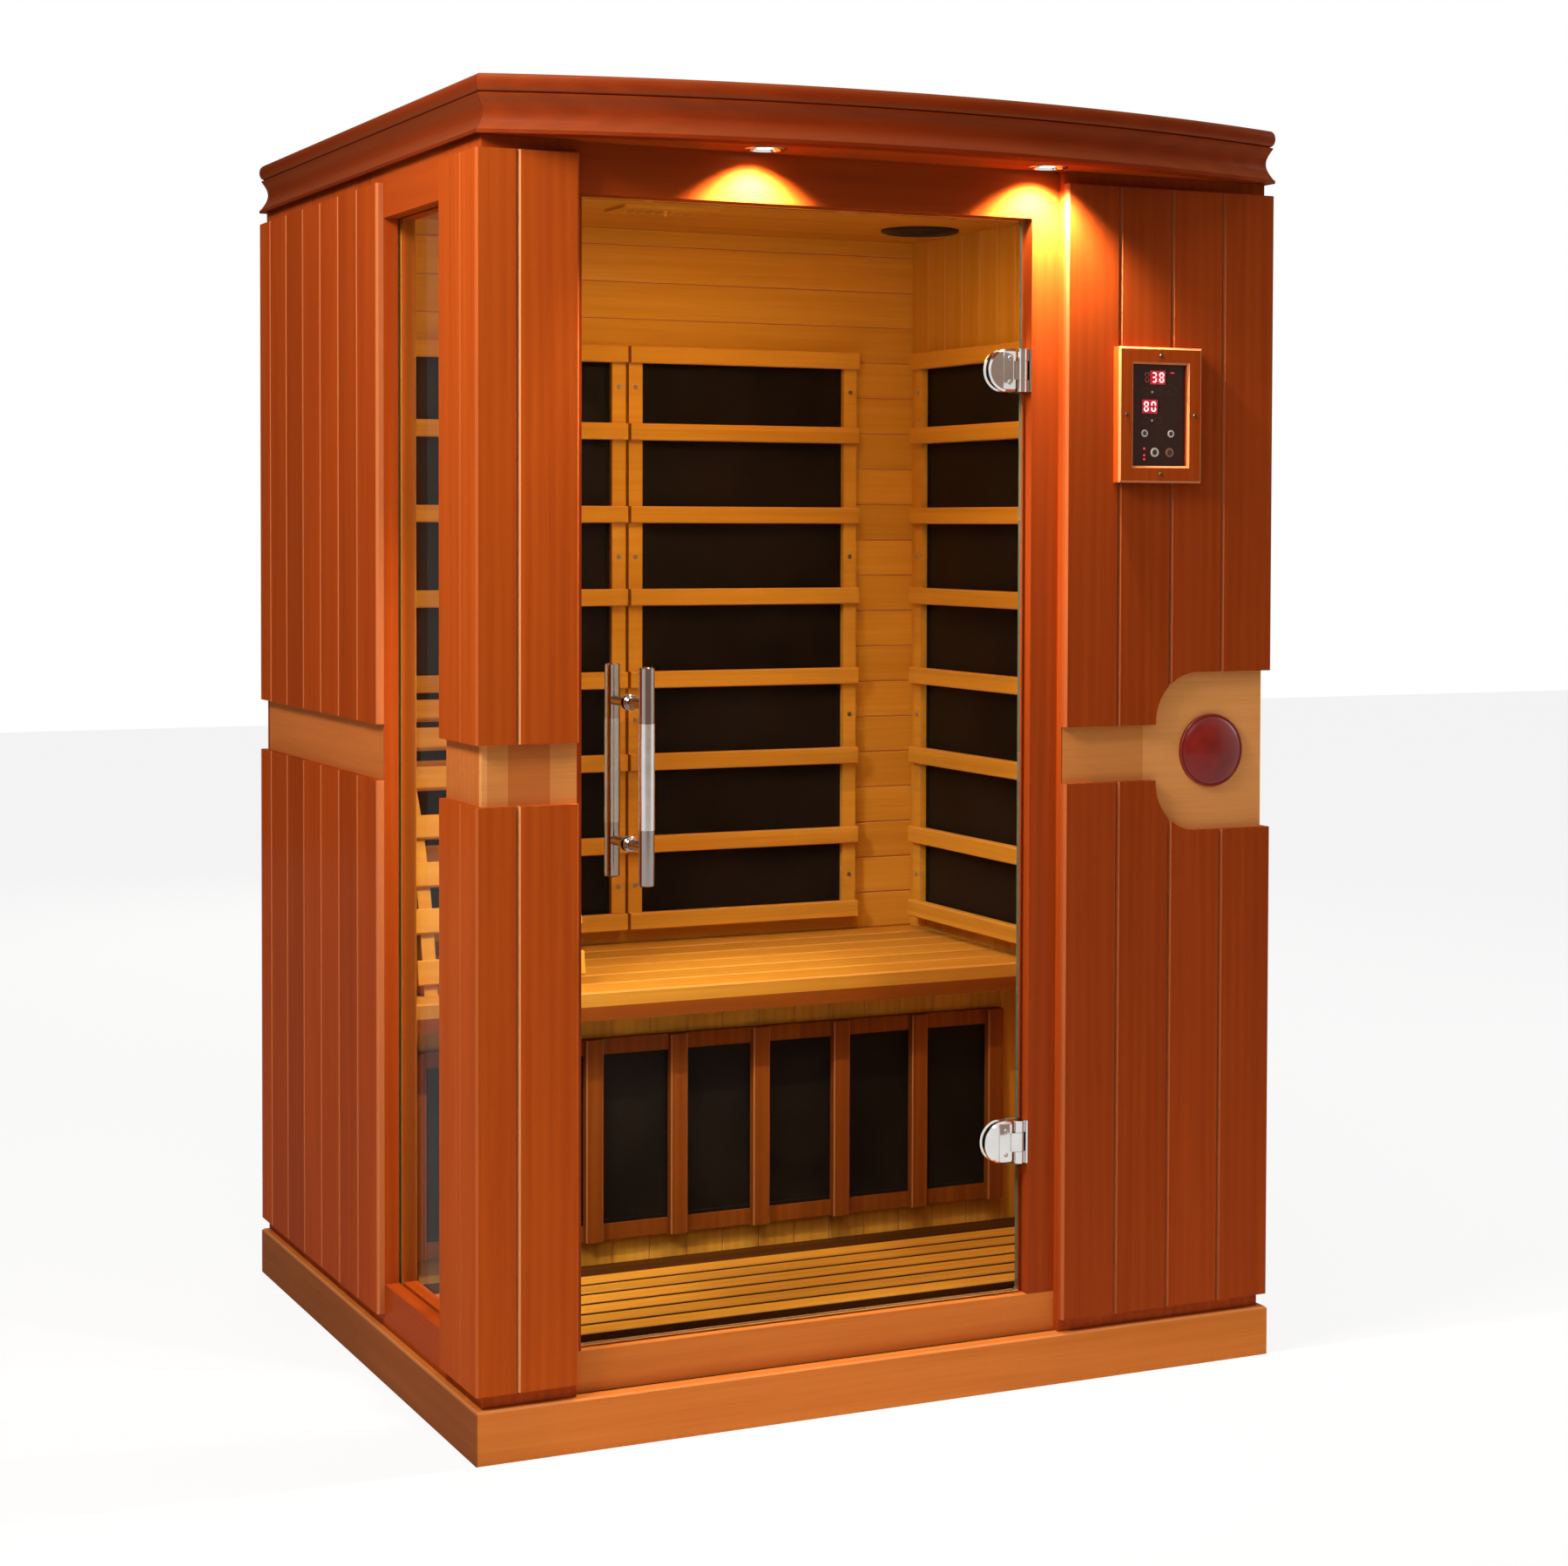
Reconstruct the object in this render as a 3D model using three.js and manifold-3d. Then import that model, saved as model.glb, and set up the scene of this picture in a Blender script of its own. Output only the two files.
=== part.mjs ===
// Infrared sauna cabin for two people, built as the separate pieces it is assembled from.
// Millimetres, +Z up. The cabin stands on z = 0 with its front towards -Y.
// The origin is the middle of its footprint.

import * as THREE from "three";
import { mergeVertices } from "three/addons/utils/BufferGeometryUtils.js";
import Module from "manifold-3d";

const wasm = await Module();
wasm.setup();

// Overall cabin
const CABIN_WIDTH = 1290;
const CABIN_DEPTH = 1155;
const CABIN_HEIGHT = 1900;
const FIT = 0.3; // gap left between two pieces that touch

// Base and floor
const BASE_HEIGHT = 75;
const BASE_BOARD = 22;
const BASE_EASE = 3; // rounding of the skirt's top edge
const DUCKBOARD_SLAT = 38;
const DUCKBOARD_GAP = 15;
const DUCKBOARD_SLATS = 6;
const DUCKBOARD_SLAT_THICKNESS = 13;
const DUCKBOARD_BATTEN_THICKNESS = 9;
const DUCKBOARD_BATTEN = 40;
const DUCKBOARD_LAP = 1;
const DUCKBOARD_FRONT_GAP = 173; // floor left bare behind the sill
const DUCKBOARD_SIDE_GAP = 5;

// Walls
const CORE_THICKNESS = 53;
const BACK_WALL_THICKNESS = 52;
const LINING_PLANK = 66;
const LINING_GROOVE = 4;
const LINING_GROOVE_DEPTH = 2;

// Outer cladding
const CLADDING_THICKNESS = 12;
const CLADDING_FOOT_GAP = 20;
const CLADDING_HEAD_GAP = 19;
const BELT_BOTTOM = 904;
const BELT_TOP = 989;
const SIDE_BOARD = 103;
const BACK_BOARD = 105;
const FRONT_BOARDS = 4;
const BOARD_GROOVE = 7;
const BOARD_GROOVE_DEPTH = 4;

// Front left corner post
const POST_WIDTH = 150;
const POST_DEPTH = 166;
const POST_CORNER_FRONT_BOARD = 61;
const POST_CORNER_SIDE_BOARD = 68;

// Front right panel, with the bay round the corner disc
const FRONT_PANEL_WIDTH = 368;
const BAY_WIDTH = 209;
const BAY_HEIGHT = 243;
const BAY_RADIUS = 75;
const DISC_DIAMETER = 112;
const DISC_RIM = 6;
const DISC_DOME = 9;

// Door frame
const FRAME_SETBACK = 26; // frame face behind the cladding face
const FRAME_DEPTH = 39;
const JAMB_WIDTH = 46;
const HEADER_HEIGHT = 71; // roof to the top of the door and window openings
const DOOR_SILL_TOP = 134;
const STRIKE_WIDTH = 12;
const STOP_WIDTH = 21;
const SEAL_THICKNESS = 4;
const SEAL_WIDTH = 7;

// Glass door
const GLASS = 8;
const DOOR_GLASS_SETBACK = 15.5; // glass face behind the frame face
const DOOR_GAP = 4; // gap round the free edges of the glass
const DOOR_CORNER_RADIUS = 6;
const DOOR_HINGE_GAP = 8.5; // gap between the glass and the hinge jamb
const DOOR_HINGE_NOTCH = 1; // room left above and below each clamp in the glass

// Door hinges
const HINGE_HEIGHT = 64;
const HINGE_FOOT_GAP = 231; // sill to the middle of the lower hinge
const HINGE_HEAD_GAP = 226; // header to the middle of the upper hinge
const HINGE_BARREL_RADIUS = 8;
const HINGE_PIN_RADIUS = 3;
const HINGE_RUNNING_GAP = 0.1;
const HINGE_KNUCKLE_GAP = 0.5;
const HINGE_KNUCKLE = 28; // height of the middle knuckle
const HINGE_LEAF = 3;
const HINGE_LEAF_WIDTH = 30;
const HINGE_FRONT_PLATE = 8;
const HINGE_BACK_PLATE = 6;
const HINGE_PLATE_WIDTH = 46;
const HINGE_BRIDGE = 4;
const HINGE_PLATE_CLEARANCE = 10; // clamp edge to the hinge axis
const HINGE_EASE = 2.5;

// Door handles
const HANDLE_DIAMETER = 22;
const HANDLE_LENGTH = 305;
const HANDLE_REACH = 62; // bar centre to the glass
const HANDLE_POST_SPACING = 200;
const HANDLE_POST_DIAMETER = 14;
const HANDLE_FLANGE_DIAMETER = 22;
const HANDLE_FLANGE = 4;
const HANDLE_LEVEL = 940;
const HANDLE_EDGE_DISTANCE = 75;
const HANDLE_EASE = 2;

// Left window
const WINDOW_WIDTH = 301;
const WINDOW_SILL_TOP = 140;
const WINDOW_HOUSING = 9; // depth that the pane enters its frame

// Roof and crown
const CROWN_HEIGHT = 81;
const CROWN_THICKNESS = 32;
const CROWN_BOW = 108;
const CROWN_BOW_STEPS = 28;
const CROWN_LIP = 5;
const CROWN_COVE = 8;
const CROWN_BEAD = 25;
const CROWN_BEAD_STEP = 4;
const ROOF_THICKNESS = 40;
const LIGHT_SPACING = 456;
const LIGHT_SETBACK = 24; // light centre in front of the cladding face
const LIGHT_DIAMETER = 62;
const LIGHT_CAN_DIAMETER = 51;
const LIGHT_CAN_HEIGHT = 34;
const LIGHT_TRIM = 2.5;
const SPEAKER_DIAMETER = 140;
const SPEAKER_CAN_DIAMETER = 112;
const SPEAKER_CAN_HEIGHT = 34;
const SPEAKER_DOME = 10;
const SPEAKER_SIDE_GAP = 100; // speaker centre to the right wall
const SPEAKER_BACK_GAP = 225; // speaker centre to the back wall
const POWER_BOX = { width: 240, depth: 150, height: 34 };
const POWER_BOX_EDGE_GAP = 90;
const POWER_GLAND_DIAMETER = 18;
const POWER_GLAND_LENGTH = 16;

// Ceiling vent with its sliding shutter
const VENT_X = -62;
const VENT_BACK_GAP = 335;
const VENT_PLATE = 6;
const VENT_BORDER = 13;
const VENT_SLOTS = 7;
const VENT_SLOT = 7;
const VENT_SLOT_LENGTH = 44;
const VENT_PITCH = 17;
const VENT_KNOB_DIAMETER = 6;
const VENT_KNOB_LENGTH = 9;
const VENT_KNOB_ROOM = 20; // strip of the plate that the knob runs in

// Control unit
const CONTROL_WIDTH = 146;
const CONTROL_HEIGHT = 204;
const CONTROL_RAIL = 25.5;
const CONTROL_THICKNESS = 17;
const CONTROL_EASE = 3;
const CONTROL_LEVEL = 1458;
const CONTROL_EDGE_DISTANCE = 153.5; // from the panel's left edge to the unit's centre
const PANEL_RECESS = 8; // panel face behind the frame face
const DISPLAY_RECESS = 1;
const DISPLAY_HEIGHT = 20;
const DISPLAYS = [
  { x: -7.5, z: 57, width: 46 },
  { x: -15, z: 13, width: 34 },
];
const BUTTON_PROUD = 1.4;
const BUTTON_TRAVEL = 1;
const BUTTON_LENGTH = 4.5;
const BUTTONS = [
  { name: "light_button", x: -24, z: -27.5, diameter: 11 },
  { name: "sound_button", x: 22.5, z: -27.5, diameter: 11 },
  { name: "power_button", x: -6, z: -56, diameter: 14 },
  { name: "heat_button", x: 20.5, z: -56, diameter: 14 },
];

// Heaters
const HEATER_WIDTH = 452;
const HEATER_ROOF_GAP = 210;
const HEATER_SEAT_GAP = 26;
const HEATER_MIDDLE_GAP = 6;
const HEATER_SIDE_BACK_GAP = 54; // side heater's edge to the back wall
const HEATER_SLATS = 8;
const HEATER_SLAT = 30;
const HEATER_END_SHARE = 0.93; // end gaps of an upright heater, as a share of the others
const HEATER_SLAT_THICKNESS = 12;
const HEATER_STILE = 26;
const HEATER_STILE_THICKNESS = 20;
const HEATER_LAP = 4;
const HEATER_EASE = 2;
const EMITTER_THICKNESS = 8;
const EMITTER_RIM = 6;
const EMITTER_DISH = 2;
const LEG_HEATER_SIDE_GAP = 44;
const LEG_HEATER_HEIGHT = 332;
const LEG_HEATER_LEVEL = 118;
const LEG_HEATER_STILE_THICKNESS = 12;

// Bench
const BENCH_DEPTH = 500;
const BENCH_TOP = 538;
const BENCH_SLATS = 6;
const BENCH_GAP = 7;
const BENCH_SLAT_THICKNESS = 22;
const BENCH_BATTEN = { width: 60, height: 27 };
const BENCH_APRON = { thickness: 22, height: 27 };
const BENCH_EASE = 3;
const BENCH_LAP = 2;
const BENCH_WALL_SETBACK = 75; // plank wall behind the bench edge
const BENCH_WALL_THICKNESS = 18;

// Loose backrest on the bench
const BACKREST_WIDTH = 280;
const BACKREST_SIDE_GAP = 205; // left wall to the middle of the backrest
const BACKREST_FRONT_GAP = 70; // bench edge to the foot of the backrest
const BACKREST_SIDE = 22;
const BACKREST_RIB = 42;
const BACKREST_SLATS = 7;
const BACKREST_SLAT = 40;
const BACKREST_SLAT_THICKNESS = 11;
const BACKREST_LAP = 3;
const BACKREST_BEND = [
  [14, -30],
  [40, 100],
  [84, 230],
  [158, 360],
  [222, 438],
];
const BACKREST_STRUT_AT = 0.72; // place along the rib where the strut meets it
const BACKREST_STRUT_FOOT = 250;

// Planes that several pieces share
const HALF_WIDTH = CABIN_WIDTH / 2;
const FRONT = -CABIN_DEPTH / 2;
const BACK = CABIN_DEPTH / 2;
const ROOF_BOTTOM = CABIN_HEIGHT - CROWN_HEIGHT;
const WALL_BOTTOM = BASE_HEIGHT + FIT;
const WALL_TOP = ROOF_BOTTOM - FIT;
const OPENING_TOP = ROOF_BOTTOM - HEADER_HEIGHT;
const CORE_X = HALF_WIDTH - CLADDING_THICKNESS;
const CORE_FRONT = FRONT + CLADDING_THICKNESS;
const ROOM_X = CORE_X - CORE_THICKNESS;
const ROOM_FRONT = CORE_FRONT + CORE_THICKNESS;
const ROOM_BACK = BACK - BACK_WALL_THICKNESS;
const BELT_CENTRE = (BELT_BOTTOM + BELT_TOP) / 2;
const POST_RIGHT = -HALF_WIDTH + POST_WIDTH;
const POST_BACK = FRONT + POST_DEPTH;
const LEFT_WALL_FRONT = POST_BACK + WINDOW_WIDTH;
const PANEL_LEFT = HALF_WIDTH - FRONT_PANEL_WIDTH;
const FRAME_FRONT = FRONT + FRAME_SETBACK;
const FRAME_BACK = FRAME_FRONT + FRAME_DEPTH;
const JAMB_FACE = PANEL_LEFT - JAMB_WIDTH;
const STRIKE_FACE = POST_RIGHT + STRIKE_WIDTH;
const BENCH_FRONT = ROOM_BACK - BENCH_DEPTH;
const BENCH_WALL_FACE = BENCH_FRONT + BENCH_WALL_SETBACK;
const SEAT_BOTTOM = BENCH_TOP - BENCH_SLAT_THICKNESS - BENCH_BATTEN.height + BENCH_LAP;
const DOOR_GLASS_FRONT = FRAME_FRONT + DOOR_GLASS_SETBACK;
const DOOR_GLASS_BACK = DOOR_GLASS_FRONT + GLASS;
const HINGE_LEVELS = [DOOR_SILL_TOP + HINGE_FOOT_GAP, OPENING_TOP - HINGE_HEAD_GAP];
const HINGE_X = JAMB_FACE - FIT - HINGE_LEAF - HINGE_KNUCKLE_GAP - HINGE_BARREL_RADIUS;
const HINGE_Y = DOOR_GLASS_FRONT - FIT - HINGE_FRONT_PLATE;
const HEATER_LEVEL = BENCH_TOP + HEATER_SEAT_GAP;
const HEATER_HEIGHT = ROOF_BOTTOM - HEATER_ROOF_GAP - HEATER_LEVEL;
const LEG_HEATER_LENGTH = 2 * (ROOM_X - LEG_HEATER_SIDE_GAP);
const BACKREST_X = -ROOM_X + BACKREST_SIDE_GAP;
const CONTROL_X = PANEL_LEFT + CONTROL_EDGE_DISTANCE;

// Sizes of the vent: its rows of slots, the shutter behind them and the hole that both fit
const VENT_TRAVEL = VENT_PITCH / 2;
const VENT_SHUTTER_WIDTH = (VENT_SLOTS + 1) * VENT_PITCH;
const VENT_SHUTTER_DEPTH = VENT_SLOT_LENGTH + VENT_KNOB_ROOM + VENT_SLOT;
const VENT_HOLE_WIDTH = VENT_SHUTTER_WIDTH + VENT_TRAVEL + 2 * FIT;
const VENT_HOLE_DEPTH = VENT_SHUTTER_DEPTH + 2 * FIT;
const VENT_REST_X = -VENT_TRAVEL / 2;
const VENT_KNOB_Y = (VENT_KNOB_ROOM - VENT_SHUTTER_DEPTH) / 2;

// Finishes
const finish = (color, roughness, metalness = 0) => ({ color, roughness, metalness });
const STAINED = finish(0x93380f, 0.35);
const NATURAL = finish(0xc98f4e, 0.5);
const EMITTER = finish(0x14110f, 0.6);
const CHROME = finish(0xd9dadb, 0.12, 1);
const CLEAR = { ...finish(0xdfeae6, 0.05), transparent: true, opacity: 0.25 };
const BLACK = finish(0x151414, 0.25);
const GREY = finish(0x8d9093, 0.4, 0.6);
const RED = finish(0xa8190f, 0.2);

// Closed geometry to a solid that can be joined and cut
function solid(geometry) {
  const plain = new THREE.BufferGeometry();
  plain.setAttribute("position", geometry.getAttribute("position"));
  plain.setIndex(geometry.index);
  const merged = mergeVertices(plain);
  return new wasm.Manifold(
    new wasm.Mesh({
      numProp: 3,
      vertProperties: merged.attributes.position.array,
      triVerts: new Uint32Array(merged.index.array),
    }),
  );
}

// Solid back to geometry
function geometryOf(body) {
  const { vertProperties, triVerts } = body.getMesh();
  const geometry = new THREE.BufferGeometry();
  geometry.setAttribute("position", new THREE.BufferAttribute(vertProperties, 3));
  geometry.setIndex(new THREE.BufferAttribute(triVerts, 1));
  geometry.computeVertexNormals();
  return geometry;
}

// One solid of several pieces
function join(...pieces) {
  return geometryOf(pieces.map(solid).reduce((whole, piece) => whole.add(piece)));
}

// Stock without the space of the tools
function cut(stock, ...tools) {
  return geometryOf(tools.map(solid).reduce((left, tool) => left.subtract(tool), solid(stock)));
}

// Box between two values on each axis
function block([x0, x1], [y0, y1], [z0, z1]) {
  const box = new THREE.BoxGeometry(x1 - x0, y1 - y0, z1 - z0);
  return box.translate((x0 + x1) / 2, (y0 + y1) / 2, (z0 + z1) / 2);
}

// Prisms of an outline along each axis: the outline is drawn in (y, z), (x, z) or (x, y)
function prism(shape, length, curveSegments) {
  return new THREE.ExtrudeGeometry(shape, { depth: length, bevelEnabled: false, curveSegments });
}

function prismX(shape, [x0, x1], curveSegments = 12) {
  const yzx = new THREE.Matrix4().makeBasis(
    new THREE.Vector3(0, 1, 0),
    new THREE.Vector3(0, 0, 1),
    new THREE.Vector3(1, 0, 0),
  );
  return prism(shape, x1 - x0, curveSegments).applyMatrix4(yzx).translate(x0, 0, 0);
}

function prismY(shape, [y0, y1], curveSegments = 12) {
  return prism(shape, y1 - y0, curveSegments).rotateX(Math.PI / 2).translate(0, y1, 0);
}

function prismZ(shape, [z0, z1], curveSegments = 12) {
  return prism(shape, z1 - z0, curveSegments).translate(0, 0, z0);
}

function outline(...points) {
  return new THREE.Shape(points.map(([u, v]) => new THREE.Vector2(u, v)));
}

// Rectangle with all corners rounded
function roundedRectangle([u0, u1], [v0, v1], radius) {
  const shape = new THREE.Shape();
  shape.absarc(u1 - radius, v1 - radius, radius, 0, Math.PI / 2);
  shape.absarc(u0 + radius, v1 - radius, radius, Math.PI / 2, Math.PI);
  shape.absarc(u0 + radius, v0 + radius, radius, Math.PI, 1.5 * Math.PI);
  shape.absarc(u1 - radius, v0 + radius, radius, 1.5 * Math.PI, 2 * Math.PI);
  return shape;
}

// Solid of revolution about Z from (radius, z) points that start and end on the axis, lowest first
function turned(points, segments = 24) {
  const profile = points.map(([radius, z]) => new THREE.Vector2(radius, z));
  return new THREE.LatheGeometry(profile, segments).rotateX(Math.PI / 2);
}

function cylinder(radius, [z0, z1], segments = 24) {
  return new THREE.CylinderGeometry(radius, radius, z1 - z0, segments)
    .rotateX(Math.PI / 2)
    .translate(0, 0, (z0 + z1) / 2);
}

// Closed frame: a profile of (inset, z) points, outer side first and upwards, carried round an outline
function mouldedFrame(profile, outlineAt) {
  const loops = profile.map(([inset, z]) => outlineAt(inset).map(([x, y]) => [x, y, z]));
  const sides = loops[0].length;
  const index = [];
  for (let row = 0; row < loops.length; row += 1) {
    const above = (row + 1) % loops.length;
    for (let side = 0; side < sides; side += 1) {
      const next = (side + 1) % sides;
      const [a, b] = [row * sides + side, row * sides + next];
      const [c, d] = [above * sides + next, above * sides + side];
      index.push(a, b, c, a, c, d);
    }
  }
  const geometry = new THREE.BufferGeometry();
  geometry.setAttribute("position", new THREE.Float32BufferAttribute(loops.flat(2), 3));
  geometry.setIndex(index);
  return geometry;
}

// Rectangle as a function of its inset
function rectangleAt(width, depth) {
  return (inset) => {
    const [x, y] = [width / 2 - inset, depth / 2 - inset];
    return [
      [-x, -y],
      [x, -y],
      [x, y],
      [-x, y],
    ];
  };
}

function mesh(name, geometry, look, position = [0, 0, 0]) {
  const piece = new THREE.Mesh(geometry, new THREE.MeshStandardMaterial(look));
  piece.name = name;
  piece.position.set(...position);
  return piece;
}

function group(pieces, position = [0, 0, 0], turn = 0) {
  const holder = new THREE.Group();
  holder.add(...pieces);
  holder.position.set(...position);
  holder.rotation.z = turn;
  return holder;
}

// Widths of boards of one width that fill a run, with the last one cut to fit
function boardWidths(run, board) {
  const boards = Math.max(1, Math.round(run / board));
  return [...Array(boards - 1).fill(board), run - (boards - 1) * board];
}

// Plan outline of boards side by side from (0, 0) along +x, grooved on the side that faces -y
function boardedOutline(widths, thickness, groove, depth) {
  const points = [[0, depth]];
  let joint = 0;
  widths.forEach((width, position) => {
    points.push([joint + groove / 2, 0]);
    joint += width;
    points.push([joint - groove / 2, 0]);
    points.push([joint, depth]);
    if (position === widths.length - 1) points.push([joint, thickness], [0, thickness]);
  });
  return outline(...points);
}

// Field of outer boards
function cladding(widths, [z0, z1]) {
  const thickness = CLADDING_THICKNESS - FIT;
  return prismZ(boardedOutline(widths, thickness, BOARD_GROOVE, BOARD_GROOVE_DEPTH), [z0, z1]);
}

// Wall with planks on its room side
function lining(run, thickness, [z0, z1]) {
  const planks = boardWidths(run, LINING_PLANK);
  return prismZ(boardedOutline(planks, thickness, LINING_GROOVE, LINING_GROOVE_DEPTH), [z0, z1]);
}

// Base: mitred skirt round an insulated floor panel, and a duckboard to stand on
function base() {
  const skirt = mouldedFrame(
    [
      [0, 0],
      [0, BASE_HEIGHT - BASE_EASE],
      [BASE_EASE, BASE_HEIGHT],
      [BASE_BOARD, BASE_HEIGHT],
      [BASE_BOARD, 0],
    ],
    rectangleAt(CABIN_WIDTH, CABIN_DEPTH),
  );
  const floorX = HALF_WIDTH - BASE_BOARD - FIT;
  const floorY = BACK - BASE_BOARD - FIT;
  const floor = block([-floorX, floorX], [-floorY, floorY], [0, BASE_HEIGHT]);

  const slatLength = ROOM_X - DUCKBOARD_SIDE_GAP;
  const start = ROOM_FRONT + DUCKBOARD_FRONT_GAP;
  const pitch = DUCKBOARD_SLAT + DUCKBOARD_GAP;
  const depth = DUCKBOARD_SLATS * pitch - DUCKBOARD_GAP;
  const battenTop = WALL_BOTTOM + DUCKBOARD_BATTEN_THICKNESS;
  const slatBottom = battenTop - DUCKBOARD_LAP;
  const slatHeights = [slatBottom, slatBottom + DUCKBOARD_SLAT_THICKNESS];
  const pieces = [];
  for (let slat = 0; slat < DUCKBOARD_SLATS; slat += 1) {
    const y = start + slat * pitch;
    const section = easedSection([y, y + DUCKBOARD_SLAT], slatHeights, HEATER_EASE);
    pieces.push(prismX(section, [-slatLength, slatLength]));
  }
  for (const place of [-0.8, 0, 0.8]) {
    const x = place * slatLength;
    const battenWidth = [x - DUCKBOARD_BATTEN / 2, x + DUCKBOARD_BATTEN / 2];
    pieces.push(block(battenWidth, [start, start + depth], [WALL_BOTTOM, battenTop]));
  }
  return [
    mesh("base_skirt", skirt, STAINED),
    mesh("floor_panel", floor, NATURAL),
    mesh("duckboard", join(...pieces), NATURAL),
  ];
}

// Rectangular section whose two upper corners are eased
function easedSection([u0, u1], [v0, v1], ease) {
  return outline([u0, v0], [u1, v0], [u1, v1 - ease], [u1 - ease, v1], [u0 + ease, v1], [u0, v1 - ease]);
}

// Space that the window pane takes inside its frame, with or without its fitting gap
function paneBlock(gap) {
  const x = CORE_X - CORE_THICKNESS / 2;
  return block(
    [-x - GLASS / 2 - gap, -x + GLASS / 2 + gap],
    [POST_BACK - WINDOW_HOUSING - gap, LEFT_WALL_FRONT + WINDOW_HOUSING + gap],
    [WINDOW_SILL_TOP - WINDOW_HOUSING - gap, OPENING_TOP + WINDOW_HOUSING + gap],
  );
}

// Insulated wall panels, plain outside and plank-lined inside
function walls() {
  const heights = [WALL_BOTTOM, WALL_TOP];
  const leftRun = ROOM_BACK - FIT - LEFT_WALL_FRONT;
  const left = lining(leftRun, CORE_THICKNESS, heights)
    .rotateZ(Math.PI / 2)
    .translate(-ROOM_X, LEFT_WALL_FRONT, 0);
  const rightRun = ROOM_BACK - ROOM_FRONT - 2 * FIT;
  const right = lining(rightRun, CORE_THICKNESS, heights)
    .rotateZ(-Math.PI / 2)
    .translate(ROOM_X, ROOM_BACK - FIT, 0);
  const frontRun = CORE_X - PANEL_LEFT;
  const front = lining(frontRun, CORE_THICKNESS, heights)
    .rotateZ(Math.PI)
    .translate(CORE_X, ROOM_FRONT, 0);
  const post = prismZ(
    outline(
      [-CORE_X, POST_BACK],
      [-CORE_X, CORE_FRONT],
      [POST_RIGHT, CORE_FRONT],
      [POST_RIGHT, ROOM_FRONT],
      [-ROOM_X, ROOM_FRONT],
      [-ROOM_X, POST_BACK],
    ),
    heights,
  );
  const span = [POST_BACK + FIT, LEFT_WALL_FRONT - FIT];
  const thickness = [-CORE_X, -ROOM_X];
  const windowHeader = block(thickness, span, [OPENING_TOP, WALL_TOP]);
  const windowSill = block(thickness, span, [WALL_BOTTOM, WINDOW_SILL_TOP]);
  const housing = paneBlock(FIT);
  return [
    mesh("left_wall_panel", cut(left, housing), NATURAL),
    mesh("right_wall_panel", right, NATURAL),
    mesh("back_wall_panel", backWall(), NATURAL),
    mesh("front_wall_panel", front, NATURAL),
    mesh("corner_post", cut(post, housing), NATURAL),
    mesh("window_header", cut(windowHeader, housing), STAINED),
    mesh("window_sill", cut(windowSill, housing), STAINED),
    mesh("window_glass", paneBlock(0), CLEAR),
  ];
}

// Back wall: upright boards outside, level planks inside
function backWall() {
  const boards = boardWidths(2 * CORE_X, BACK_BOARD);
  const stock = prismZ(
    boardedOutline(boards, BACK_WALL_THICKNESS, BOARD_GROOVE, BOARD_GROOVE_DEPTH),
    [WALL_BOTTOM, WALL_TOP],
  )
    .rotateZ(Math.PI)
    .translate(CORE_X, BACK, 0);
  const grooves = [];
  for (let z = WALL_BOTTOM + LINING_PLANK; z < WALL_TOP - LINING_GROOVE; z += LINING_PLANK) {
    const y = ROOM_BACK;
    const half = LINING_GROOVE;
    const section = outline(
      [y - LINING_GROOVE_DEPTH, z - half],
      [y + LINING_GROOVE_DEPTH, z],
      [y - LINING_GROOVE_DEPTH, z + half],
    );
    grooves.push(prismX(section, [-ROOM_X, ROOM_X]));
  }
  return cut(stock, ...grooves);
}

// Rounded bay at the front right corner, drawn as (distance from the corner, z)
function bayOutline() {
  const [bottom, top] = [BELT_CENTRE - BAY_HEIGHT / 2, BELT_CENTRE + BAY_HEIGHT / 2];
  const past = CLADDING_THICKNESS;
  const shape = new THREE.Shape();
  shape.moveTo(past, bottom);
  shape.lineTo(past, top);
  shape.lineTo(-BAY_WIDTH + BAY_RADIUS, top);
  shape.absarc(-BAY_WIDTH + BAY_RADIUS, top - BAY_RADIUS, BAY_RADIUS, Math.PI / 2, Math.PI);
  shape.absarc(-BAY_WIDTH + BAY_RADIUS, bottom + BAY_RADIUS, BAY_RADIUS, Math.PI, 1.5 * Math.PI);
  return shape;
}

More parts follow.
